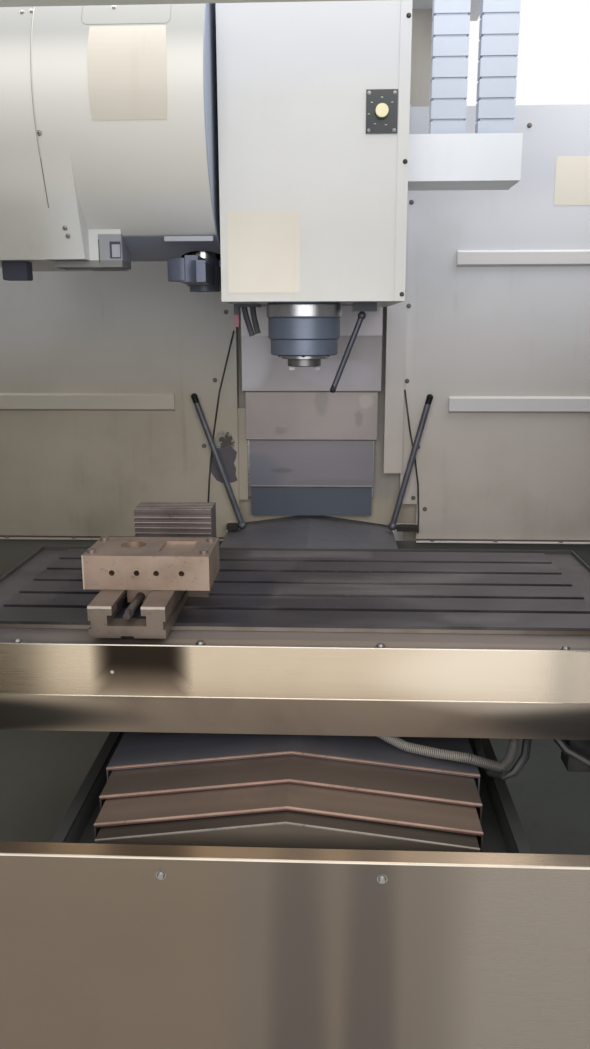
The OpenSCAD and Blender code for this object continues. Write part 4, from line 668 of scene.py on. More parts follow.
def from_bmesh(name: str, bm: bmesh.types.BMesh, bevel: float = 0.0) -> bpy.types.Object:
    """Turns a bmesh into an object with outward faces.

    Args:
        name: Name of the object.
        bm: The mesh under construction, freed here.
        bevel: Width of a rounded edge in metres.

    Returns:
        The object, linked to the scene.
    """
    bmesh.ops.remove_doubles(bm, verts=bm.verts, dist=1e-6)
    bmesh.ops.recalc_face_normals(bm, faces=bm.faces)
    if bevel:
        sharp = [e for e in bm.edges if len(e.link_faces) == 2 and e.calc_face_angle(0.0) > SHARP]
        bmesh.ops.bevel(bm, geom=sharp, offset=bevel, segments=2, affect="EDGES", clamp_overlap=True)
    mesh = bpy.data.meshes.new(name)
    bm.to_mesh(mesh)
    bm.free()
    return to_scene(name, mesh)


@dataclass
class Piece:
    """An added piece under construction: closed solids that end as one mesh on one body."""

    name: str
    body: str
    slot: str
    coat: str
    bevel: float = 0.0
    bm: bmesh.types.BMesh = field(default_factory=bmesh.new)

    def block(self, low: Point, high: Point) -> "Piece":
        """Adds a block between two corners."""
        middle = [(a + b) / 2 for a, b in zip(low, high)]
        size = [b - a for a, b in zip(low, high)]
        bmesh.ops.create_cube(self.bm, size=1.0, matrix=Matrix.Translation(middle) @ Matrix.Diagonal((*size, 1.0)))
        return self

    def cone(self, segments: int, radii: Pair, depth: float, place: Matrix) -> "Piece":
        """Adds a cone or a cylinder with its middle at a place."""
        bmesh.ops.create_cone(self.bm, segments=segments, radius1=radii[0], radius2=radii[1], depth=depth,
                              cap_ends=True, matrix=place)
        return self

    def loft(self, outlines: Sequence[Sequence[Point]], loop: bool = False) -> "Piece":
        """Skins closed outlines in a row, which ends in caps or runs round to its start."""
        rings = [[self.bm.verts.new(p) for p in outline] for outline in outlines]
        count = len(rings[0])
        for a, b in zip(rings, rings[1:] + rings[:1] if loop else rings[1:]):
            for k in range(count):
                self.bm.faces.new((a[k], a[(k + 1) % count], b[(k + 1) % count], b[k]))
        if not loop:
            self.bm.faces.new(rings[0][::-1])
            self.bm.faces.new(rings[-1])
        return self

    def prism(self, outline: Sequence[Pair], axis: Axis, start: float, end: float) -> "Piece":
        """Adds a closed outline swept along an axis.

        Args:
            outline: Points in the two other axes, in their order.
            axis: The axis of the sweep.
            start: Where the sweep starts.
            end: Where it ends.

        Returns:
            The piece.
        """
        cut = axis.value
        return self.loft([[(*p[:cut], along, *p[cut:]) for p in outline] for along in (start, end)])

    def keep(self) -> None:
        """Ends the mesh and dresses the piece."""
        keep(from_bmesh(self.name, self.bm, self.bevel), self.body, self.coat)


class Growth(Tree):
    """A Geometry Nodes tree with named lengths that ends in real, dressed geometry."""

    def __init__(self, name: str, lengths: Dict[str, float]) -> None:
        """Starts the tree with the first value of each length."""
        super().__init__(bpy.data.node_groups.new(name, "GeometryNodeTree"))
        face = self.tree.interface
        face.new_socket("Points", in_out="INPUT", socket_type="NodeSocketGeometry")
        for key, value in lengths.items():
            face.new_socket(key, in_out="INPUT", socket_type="NodeSocketFloat").default_value = value
        face.new_socket("Coat", in_out="INPUT", socket_type="NodeSocketMaterial")
        face.new_socket("Result", in_out="OUTPUT", socket_type="NodeSocketGeometry")
        self.source = self.tree.nodes.new("NodeGroupInput").outputs

    def node(self, kind: str, values: Dict[Any, Any], **settings: Any) -> bpy.types.NodeSocket:
        """Adds one node and returns its first output."""
        return self.add(kind, settings, values).outputs[0]

    def times(self, first: Any, second: Any) -> bpy.types.NodeSocket:
        """Product of two numbers or sockets."""
        return self.node("ShaderNodeMath", {0: first, 1: second}, operation="MULTIPLY")

    def vector(self, x: Any, y: Any, z: Any) -> bpy.types.NodeSocket:
        """A vector of three numbers or sockets."""
        return self.node("ShaderNodeCombineXYZ", {0: x, 1: y, 2: z})

    def moved(self, shape: bpy.types.NodeSocket, **values: Any) -> bpy.types.NodeSocket:
        """The shape after a Transform node with those values."""
        return self.node("GeometryNodeTransform", {"Geometry": shape, **values})

    def scatter(self, shape: bpy.types.NodeSocket, points: Any = None, aim: Any = None) -> None:
        """Puts the shape on points with its Z along aim, and closes the tree.

        Args:
            shape: The shape.
            points: The points, or None for the points of the seed mesh.
            aim: The directions, or None for the seed's attribute aim.
        """
        aim = aim or self.node("GeometryNodeInputNamedAttribute", {"Name": "aim"}, data_type="FLOAT_VECTOR")
        turn = self.node("FunctionNodeAlignRotationToVector", {"Vector": aim}, axis="Z")
        spread = self.node("GeometryNodeInstanceOnPoints",
                           {"Points": points or self.source["Points"], "Instance": shape, "Rotation": turn})
        real = self.node("GeometryNodeRealizeInstances", {0: spread})
        coated = self.node("GeometryNodeSetMaterial", {"Geometry": real, "Material": self.source["Coat"]})
        self.add("NodeGroupOutput", {}, {0: coated})

    def grow(self, name: str, body: str, slot: str, coat: str, seed: bpy.types.Mesh, *lengths: float,
             smooth: bool = False) -> None:
        """Runs the tree on a seed mesh and keeps the plain mesh that comes out.

        Args:
            name: Name of the piece.
            body: CAD body it rides on.
            slot: Material slot of the record; not used.
            coat: Name of its coat.
            seed: Points or a line that the tree starts from.
            lengths: Values of the named lengths, in their order.
            smooth: Whether faces are smooth shaded.
        """
        carrier = to_scene(name + "_seed", seed)
        modifier = carrier.modifiers.new("growth", "NODES")
        modifier.node_group = self.tree
        _, *ports = (item for item in self.tree.interface.items_tree if item.in_out == "INPUT")
        for item, value in zip(ports, (*lengths, DRESS.material(coat))):
            modifier[item.identifier] = value
        graph = bpy.context.evaluated_depsgraph_get()
        mesh = bpy.data.meshes.new_from_object(carrier.evaluated_get(graph), depsgraph=graph)
        carrier.modifiers.clear()
        bpy.data.objects.remove(carrier)
        mesh.polygons.foreach_set("use_smooth", [smooth] * len(mesh.polygons))
        keep(to_scene(name, mesh), body, coat)


def seed_points(spots: Sequence[Tuple[Point, Point]]) -> bpy.types.Mesh:
    """A mesh of loose points, each with the direction it faces in the attribute aim."""
    mesh = bpy.data.meshes.new("spots")
    mesh.from_pydata([s[0] for s in spots], [], [])
    aim = mesh.attributes.new("aim", "FLOAT_VECTOR", "POINT")
    aim.data.foreach_set("vector", [c for s in spots for c in s[1]])
    return mesh


def seed_line(points: Sequence[Point]) -> bpy.types.Mesh:
    """A mesh of one open line."""
    mesh = bpy.data.meshes.new("line")
    mesh.from_pydata(list(points), [(i, i + 1) for i in range(len(points) - 1)], [])
    return mesh


def screw_growth() -> Growth:
    """Button-head screws with a hexagon recess and a washer, on points that face along aim."""
    g = Growth("button_screws", {"Radius": 0.006, "Height": 0.003, "Recess": 0.0028})
    radius, height, recess = (g.source[k] for k in ("Radius", "Height", "Recess"))
    washer = g.node("GeometryNodeMeshCylinder", {"Vertices": 20, "Radius": g.times(radius, 1.28),
                                                 "Depth": g.times(height, 0.4)})
    head = g.node("GeometryNodeMeshCone", {"Vertices": 20, "Radius Top": g.times(radius, 0.66),
                                           "Radius Bottom": radius, "Depth": height})
    bit = g.node("GeometryNodeMeshCylinder", {"Vertices": 6, "Radius": recess, "Depth": height})
    bit = g.moved(bit, Translation=g.vector(0.0, 0.0, g.times(height, 1.45)))
    cut = g.node("GeometryNodeMeshBoolean", {"Mesh 1": head, "Mesh 2": bit}, operation="DIFFERENCE", solver="EXACT")
    cut = g.moved(cut, Translation=g.vector(0.0, 0.0, g.times(height, 0.5)))
    join = g.add("GeometryNodeJoinGeometry", {}, {0: washer})
    g.tree.links.new(cut, join.inputs[0])
    g.scatter(join.outputs[0])
    return g


def rib_growth() -> Growth:
    """Rings at an even pitch along a line, for corrugated conduit."""
    g = Growth("conduit_ribs", {"Radius": 0.009, "Thick": 0.0012, "Pitch": 0.004})
    path = g.node("GeometryNodeMeshToCurve", {0: g.source["Points"]})
    even = g.node("GeometryNodeResampleCurve", {"Curve": path, "Length": g.source["Pitch"]}, mode="LENGTH")
    loop = g.node("GeometryNodeCurvePrimitiveCircle", {"Resolution": 14, "Radius": g.source["Radius"]})
    wall = g.node("GeometryNodeCurvePrimitiveCircle", {"Resolution": 5, "Radius": g.source["Thick"]})
    ring = g.node("GeometryNodeCurveToMesh", {"Curve": loop, "Profile Curve": wall})
    g.scatter(ring, even, g.node("GeometryNodeInputTangent", {}))
    return g


def pad_growth() -> Growth:
    """Pressed louvres or raised keys: long rounded pads on points that face along aim."""
    g = Growth("raised_pads", {"Length": 0.1, "Width": 0.02, "Depth": 0.008})
    pad = g.node("GeometryNodeMeshCone", {"Vertices": 4, "Side Segments": 3, "Radius Top": 0.56,
                                          "Radius Bottom": 0.7071, "Depth": 1.0})
    pad = g.moved(pad, Rotation=(0.0, 0.0, math.pi / 4))
    g.scatter(g.moved(pad, Scale=g.vector(*(g.source[k] for k in ("Length", "Width", "Depth")))))
    return g


@dataclass
class Screws:
    """All the button-head screws, one mesh for each body and size."""

    height: float = 0.55
    recess: float = 0.45
    growth: Growth = field(default_factory=screw_growth)

    def fit(self, name: str, body: str, slot: str, spots: Sequence[Tuple[Point, Point]], radius: float = 0.006,
            coat: str = "screw_steel") -> None:
        """Fits screws of one size on one body.

        Args:
            name: Name of the piece.
            body: Body that carries them.
            slot: Material slot.
            spots: Places and the directions that they face.
            radius: Radius of a head.
            coat: Name of their coat.
        """
        self.growth.grow(name, body, slot, coat, seed_points(spots), radius, radius * self.height,
                         radius * self.recess)


@dataclass
class Plates:
    """Blank cream plates with rounded corners."""

    thick: float = 0.0009
    corner: float = 0.006
    steps: int = 5

    def outline(self, x0: float, x1: float, z0: float, z1: float) -> List[Pair]:
        """A rectangle with rounded corners."""
        points = []
        r = self.corner
        for cx, cz, start in ((x1 - r, z1 - r, 0), (x0 + r, z1 - r, 90), (x0 + r, z0 + r, 180), (x1 - r, z0 + r, 270)):
            for i in range(self.steps + 1):
                a = math.radians(start + 90 * i / self.steps)
                points.append((cx + r * math.cos(a), cz + r * math.sin(a)))
        return points

    def flat(self, name: str, body: str, x0: float, x1: float, z0: float, z1: float, y: float) -> None:
        """A plate whose back lies on the plane y."""
        Piece(name, body, "panel_paint", "blank_plate").prism(self.outline(x0, x1, z0, z1), Axis.Y, y - self.thick,
                                                              y + SINK).keep()

    def curved(self, name: str, x0: float, x1: float, z0: float, z1: float, drum: "Drum", rows: int = 16,
               cols: int = 4) -> None:
        """A plate that lies on the round front of the drum cover."""
        piece = Piece(name, "frame", "panel_paint", "blank_plate")
        grid = []
        for i in range(rows + 1):
            z = z0 + (z1 - z0) * i / rows
            inset = self.corner * (1 - math.sin(math.pi * min(1, 3 * min(i, rows - i) / rows) / 2)) * 0.6
            for depth in (SINK, -self.thick):
                grid.append([piece.bm.verts.new(drum.front(x0 + inset + (x1 - x0 - 2 * inset) * j / cols, z, depth))
                             for j in range(cols + 1)])
        back, front = grid[0::2], grid[1::2]
        faces = piece.bm.faces
        for i in range(rows):
            for side in (front, back):
                for j in range(cols):
                    faces.new((side[i][j], side[i][j + 1], side[i + 1][j + 1], side[i + 1][j]))
            for j in (0, cols):
                faces.new((front[i][j], front[i + 1][j], back[i + 1][j], back[i][j]))
        for i in (0, rows):
            for j in range(cols):
                faces.new((front[i][j], front[i][j + 1], back[i][j + 1], back[i][j]))
        piece.keep()


@dataclass
class Drum:
    """Magazine cover: seams, lid outline, screws, blank plate and the details of its gate."""

    y: float = -0.077
    z: float = 2.18
    r: float = 0.351
    seam: float = -0.607
    arc: Tuple[int, int] = (-62, 82)
    arc_step: int = 4
    buried: float = -0.0004
    lap_end: float = -0.6045
    lid_high: float = 0.0005
    lid_deep: float = 0.0003
    lid_steps: int = 8
    slope_top: Pair = (-0.4068, 2.05995)
    slope_out: Point = (0.0, -0.9406, -0.34)

    def front(self, x: float, z: float, depth: float = 0.0) -> Point:
        """Point on the cover's front at a height; depth is positive into the cover."""
        a = math.asin(max(-1.0, min(1.0, (z - self.z) / self.r)))
        r = self.r - depth
        return x, self.y - r * math.cos(a), self.z + r * math.sin(a)

    def around(self, x: float, degrees: float, lift: float = 0.0) -> Tuple[Point, Point]:
        """Point on the cover and the way it faces, at an angle up from the front."""
        a = math.radians(degrees)
        out = (0.0, -math.cos(a), math.sin(a))
        r = self.r + lift
        return (x, self.y + r * out[1], self.z + r * out[2]), out

    def slope(self, x: float, along: float, lift: float = 0.0) -> Tuple[Point, Point]:
        """Point on the cover's flat lower front, a way down from where it leaves the round, and its direction."""
        out, (y, z) = self.slope_out, self.slope_top
        return (x, y - out[2] * along + out[1] * lift, z + out[1] * along + out[2] * lift), out

    def strip(self, name: str, coat: str, x0: float, x1: float, lift: float) -> None:
        """A thin closed band on the round cover."""
        start, end = self.arc
        count = (end - start) // self.arc_step
        rings = [[self.around(x, start + (end - start) * i / count, h)[0]
                  for x, h in ((x0, self.buried), (x0, lift), (x1, lift), (x1, self.buried))]
                 for i in range(count + 1)]
        Piece(name, "frame", "panel_paint", coat).loft(rings).keep()

    def lid(self, x0: float, x1: float, z0: float, z1: float, corner: float, width: float) -> None:
        """A thin line round a lid on the cover, with rounded corners.

        Args:
            x0: Left side of the lid.
            x1: Right side.
            z0: Lower side.
            z1: Upper side.
            corner: Radius of its corners.
            width: Width of the line.
        """
        rings = []
        for grow, depths in ((0.0, (self.lid_deep, -self.lid_high)), (width, (-self.lid_high, self.lid_deep))):
            rim = Plates(corner=corner + grow, steps=6).outline(x0 - grow, x1 + grow, z0 - grow, z1 + grow)
            fine = [tuple(p + (q - p) * t / self.lid_steps for p, q in zip(a, b))
                    for a, b in zip(rim, rim[1:] + rim[:1]) for t in range(self.lid_steps)]
            rings += [[self.front(x, z, depth) for x, z in fine] for depth in depths]
        Piece("drum_lid_gap", "frame", "panel_paint", "lid_gap_grey").loft(rings, True).keep()

    def build(self, screws: Screws, plates: Plates) -> None:
        """Builds and dresses the pieces on the magazine cover."""
        self.strip("drum_seam_1", "seam_shadow", self.seam - 0.0012, self.seam + 0.0012, 0.0006)
        corners = [self.slope(0.0, t, h)[0][1:] for t, h in ((0.002, self.buried), (0.002, 0.0005), (0.135, 0.0005),
                                                             (0.135, self.buried))]
        Piece("slope_seam", "frame", "panel_paint", "seam_shadow").prism(corners, Axis.X, self.seam - 0.001,
                                                                         self.seam + 0.001).keep()
        self.strip("drum_lap", "drum_lap", self.seam, self.lap_end, 0.0016)
        self.lid(-0.494, -0.294, 2.318, 2.46, 0.012, 0.0013)
        plates.curved("drum_plate", -0.4785, -0.2995, 2.113, 2.312, self)
        spots = [self.around(x, a) for x, a in ((-0.633, 29), (-0.6115, 29.4), (-0.601, -15.1), (-0.424, 30.5),
                                                (-0.84, 20), (-0.84, -20), (-0.84, 60))]
        spots += [self.slope(-0.575, 0.1825), self.slope(-0.5707, 0.2015)]
        # The drum's screws are lighter: painted highlights.
        screws.fit("drum_screws", "frame", "panel_paint", spots, 0.0048, "drum_screw_highlight")
        self.gate()

    def gate(self) -> None:
        """The thin rail above the change arm, the sensor box and the details of the chute."""
        rail = Piece("gate_rail", "frame", "panel_paint", "gate_rail", 0.0012)
        rail.block((-0.347, -0.276, 1.8625), (-0.224, -0.268, 1.8745))
        rail.block((-0.34, -0.2685, 1.8685), (-0.23, -0.2, 1.8745))
        for x in (-0.325, -0.25):
            rail.block((x - 0.008, -0.212, 1.874), (x + 0.008, -0.196, 1.8945))
        rail.keep()
        Piece("drum_sensor", "frame", "black_oxide", "sensor_black", 0.002).block(
            (-0.764, -0.275, 1.771), (-0.7, -0.23, 1.8174)).keep()
        Piece("chute_slot", "frame", "black_oxide", "sensor_black", 0.0004).block(
            (-0.4845, -0.2785, 1.822), (-0.457, -0.2768, 1.8625)).block(
            (-0.5133, -0.2776, 1.812), (-0.511, -0.2768, 1.868)).keep()
        Piece("chute_flap", "frame", "panel_paint", "gate_rail", 0.0004).block(
            (-0.479, -0.2795, 1.825), (-0.4585, -0.2784, 1.8555)).keep()


@dataclass
class Head:
    """Pieces on the head: blank plate, screws, bright rings, a painted highlight on the right edge and the marks on
    the button plate.
    """

    front: float = -0.315
    left: float = -0.201
    right: float = 0.252
    y: float = -0.175
    button: Pair = (0.187, 2.147)
    button_y: float = -0.318

    def circle(self, radius: float, z: float, angle: float) -> Point:
        """A point round the spindle line."""
        return radius * math.cos(angle), self.y + radius * math.sin(angle), z

    def ring(self, name: str, profile: Sequence[Pair], steps: int = 96) -> None:
        """A closed ring about the spindle line from a profile of radius and height."""
        loops = [[self.circle(r, z, 2 * math.pi * i / steps) for r, z in profile] for i in range(steps)]
        Piece(name, "head", "chrome_ring", "ring_steel").loft(loops, True).keep()

    def build(self, screws: Screws, plates: Plates) -> None:
        """Builds and dresses the pieces on the head."""
        plates.flat("head_plate", "head", -0.1835, -0.006, 1.7355, 1.9255, self.front)
        spots = [((0.2445, self.front - 0.003, z), FRONT) for z in (1.731, 2.036, 2.35)]
        spots += [((x, y, z), face) for x, face in ((self.right, RIGHT), (self.left, LEFT)) for y in (-0.28, 0.0, 0.3)
                  for z in (1.74, 2.44)]
        screws.fit("head_screws", "head", "panel_paint", spots, 0.0045, "dark_screw")
        self.ring("spindle_ring", ((0.0976, 1.679), (0.0984, 1.679), (0.0988, 1.6805), (0.0988, 1.708),
                                   (0.0984, 1.7095), (0.0976, 1.7095)))
        self.ring("nose_ring", ((0.0505, 1.5711), (0.0618, 1.5711), (0.0624, 1.5721), (0.0624, 1.5789),
                                (0.0505, 1.5789)))
        # A near-white strip on the right edge: a painted highlight.
        Piece("head_edge", "head", "panel_paint", "head_edge_highlight", 0.0008).block(
            (0.2497, -0.3155, 1.7155), (0.2525, -0.3125, 2.475)).keep()
        cap = [(self.circle(0.074, 1.5803, 2 * math.pi * (i + 0.5) / 6), DOWN) for i in range(6)]
        screws.fit("cap_screws", "head", "black_oxide", cap, 0.0042, "dark_screw")
        corner = [((x, self.button_y, z), FRONT) for x in (0.157, 0.217) for z in (2.106, 2.188)]
        screws.fit("button_screws", "head", "panel_plate", corner, 0.0032)
        x, z = self.button
        marks = [((x + 0.031 * math.cos(a), self.button_y, z + 0.031 * math.sin(a)), FRONT)
                 for a in (math.radians(40 + 50 * i) for i in range(6))]
        pad_growth().grow("button_marks", "head", "cream_plastic", "pale_mark", seed_points(marks), 0.005, 0.002,
                          0.0012)


@dataclass
class WayCover:
    """Copper-bright lips and red wipers on the front edges of the four plates."""

    fronts: Tuple[float, ...] = (-0.948, -1.047, -1.132, -1.172)
    half: float = 0.375
    step: float = 0.012
    ridge: float = 0.828
    nest: float = 0.006
    drop: float = 0.043
    bodies: Tuple[str, ...] = ("saddle", "y_plate_2", "y_plate_3", "frame")

    def chevron(self, piece: Piece, i: int, y0: float, y1: float, above: float, below: float,
                inset: float = 0.0) -> None:
        """A thin roof-shaped strip along the front edge of plate i.

        Args:
            piece: The piece, still empty.
            i: Number of the plate from the rear.
            y0: Front of the strip.
            y1: Rear of the strip.
            above: How far its top stands over the plate's face.
            below: How far its bottom lies under the plate's face.
            inset: How far its ends stay inside the plate's sides.
        """
        h = self.half - self.step * i - inset
        top = self.ridge - self.nest * i
        side = top - self.drop * h / (self.half - self.step * i)
        piece.prism([(-h, side - below), (0, top - below), (h, side - below), (h, side + above), (0, top + above),
                     (-h, side + above)], Axis.Y, y0, y1).keep()

    def build(self) -> None:
        """Builds and dresses the lips and wipers."""
        for i, (y, body) in enumerate(zip(self.fronts, self.bodies)):
            moving = body != "frame"
            lip = Piece(f"cover_lip_{i + 1}", body, "cover_steel", "lip_pink" if moving else "lip_pale")
            self.chevron(lip, i, y - 0.0018, y + 0.003, 0.0007, 0.0014)
            if moving:
                wiper = Piece(f"cover_wiper_{i + 1}", body, "hose_rubber", "wiper_rubber")
                self.chevron(wiper, i, y - 0.001, y + 0.004, -0.0017, 0.0038, 0.0036)


@dataclass
class RearWall:
    """Screws, the blank plate and the marks of use on the rear panels, and the folds and painted shadow lines of the
    upright plates.
    """

    y: float = 0.494
    torn: Tuple[Pair, ...] = (
        (-0.339, 1.235), (-0.3055, 1.2374), (-0.286, 1.251), (-0.2585, 1.2217), (-0.264, 1.1968), (-0.2704, 1.183),
        (-0.263, 1.1627), (-0.2653, 1.142), (-0.258, 1.1215), (-0.274, 1.1137), (-0.3126, 1.112), (-0.333, 1.121),
        (-0.3505, 1.1462), (-0.358, 1.169), (-0.3547, 1.2), (-0.3486, 1.228))
    holes: Tuple[Pair, ...] = (
        (-0.288, 1.702), (-0.331, 1.473), (-0.375, 1.244), (-0.29, 2.1), (0.331, 1.47), (0.375, 1.243),
        (0.406, 1.022), (0.364, 1.062), (0.33, 1.72), (0.33, 2.05), (-1.2, 2.25), (-0.9, 2.25), (0.7, 2.28),
        (1.1, 2.28), (1.25, 1.7), (1.25, 1.2), (-1.25, 1.7), (-1.25, 1.2))
    uprights: Tuple[Tuple[float, float, float, float, str], ...] = (
        (-0.237, 0.243, 0.494, 1.432, "head"), (-0.226, 0.232, 0.497, 1.264, "z_plate_2"),
        (-0.215, 0.221, 0.501, 1.096, "z_plate_3"))

    def build(self, screws: Screws, plates: Plates) -> None:
        """Builds and dresses the pieces on the rear panels."""
        low = [((x, self.y - 0.013, 0.908), UP) for x in (-1.1, -0.855, -0.58, 0.434, 0.657, 0.886, 1.12)]
        for name, spots in (("wall_screws", [((x, self.y, z), FRONT) for x, z in self.holes]), ("flange_screws", low)):
            screws.fit(name, "frame", "rear_paint", spots, 0.0062, "wall_screw")
        plates.flat("wall_plate", "frame", 0.792, 0.956, 2.036, 2.186, self.y)
        bead = Piece("wall_seam_bead", "frame", "rear_paint", "seam_rust")
        for x0, x1 in ((0.3785, 1.345), (-1.345, -0.3045)):
            bead.prism([(self.y - 0.0045, 0.9079), (self.y - 0.0018, 0.9135), (self.y + SINK, 0.9135),
                        (self.y + SINK, 0.9079)], Axis.X, x0, x1)
        bead.keep()
        Piece("bare_patch", "frame", "rear_paint", "bare_slate").prism(self.torn, Axis.Y, self.y - 0.0003,
                                                                       self.y + SINK).keep()
        self.upright_lips()

    def upright_lips(self) -> None:
        """A dark strip of painted shadow under a light fold at the lower edge of each upright plate."""
        for i, (x0, x1, y, z, body) in enumerate(self.uprights):
            for name, low, high, out, slot, coat in (
                    ("upright_fold", 0.0035, 0.0075, 0.0014, "cover_steel", "fold_steel"),
                    ("upright_shadow_line", 0.0, 0.0035, 0.0018, "hose_rubber", "upright_shadow_line")):
                Piece(f"{name}_{i + 1}", body, slot, coat, 0.0004).block(
                    (x0 + 0.001, y - out, z + low), (x1 - 0.001, y + SINK, z + high)).keep()


@dataclass
class TableDress:
    """Trough screws, the bright edge of the table, painted highlights along the apron's top edge and fold, and the
    ridges of the rear jaw with painted highlights.
    """

    half: float = 0.743
    jaw: Pair = (-0.3995, -0.2135)

    def build(self, screws: Screws) -> None:
        """Builds and dresses the pieces on the table."""
        spots = [((x, -0.914, 1.04), UP) for x in (-0.551, -0.182, 0.175, 0.535)]
        spots += [((x, -0.951, z), FRONT) for x in (-0.66, 0.66) for z in (1.035, 0.96)]
        screws.fit("trough_screws", "table", "table_iron", spots, 0.0085)
        Piece("table_seam", "table", "table_iron", "edge_steel").prism(
            [(-0.8345, 1.0405), (-0.832, 1.0395), (-0.832, 1.0485), (-0.8332, 1.0485)], Axis.X, -0.65, 0.65).keep()
        # Near-white strips along the apron's top edge and its fold: painted highlights.
        Piece("apron_lip", "table", "sill_steel", "apron_edge_highlight", 0.0003).prism(
            [(-0.9514, 1.0492), (-0.9482, 1.0492), (-0.9482, 1.0512), (-0.9514, 1.0512)], Axis.X, -self.half,
            self.half).block((-self.half, -0.9516, 0.9425), (self.half, -0.9506, 0.9445)).keep()
        # Thin ridges on the rear jaw, lighter than the jaw: painted highlights.
        ridges = Piece("jaw_ridges", "table", "vise_steel", "ridge_steel_and_highlight")
        x0, x1 = self.jaw
        for y in (-0.5048, -0.4858, -0.4678, -0.4498, -0.4318):
            ridges.block((x0, y, 1.2265), (x1, y + 0.0026, 1.2274))
        for i in range(4):
            z = 1.1672 + 0.013 * i
            ridges.block((x0, -0.5054, z), (x1, -0.5048, z + 0.0016))
        ridges.keep()


@dataclass
class Hoses:
    """Ribs of the light conduit under the table."""

    light: Tuple[Point, ...] = (
        (0.128, -0.800, 0.872), (0.128, -0.826, 0.872), (0.140, -0.852, 0.852), (0.188, -0.868, 0.828),
        (0.232, -0.886, 0.813), (0.290, -0.902, 0.808), (0.359, -0.915, 0.804), (0.400, -0.915, 0.791),
        (0.424, -0.912, 0.784), (0.442, -0.897, 0.794), (0.454, -0.874, 0.812), (0.460, -0.850, 0.840),
        (0.462, -0.822, 0.868), (0.462, -0.800, 0.868))

    def build(self) -> None:
        """Builds and dresses the conduit's ribs."""
        rib_growth().grow("conduit_ribs", "saddle", "hose_rubber", "conduit_grey", seed_line(self.light), 0.0092,
                          0.0014, 0.0038, smooth=True)


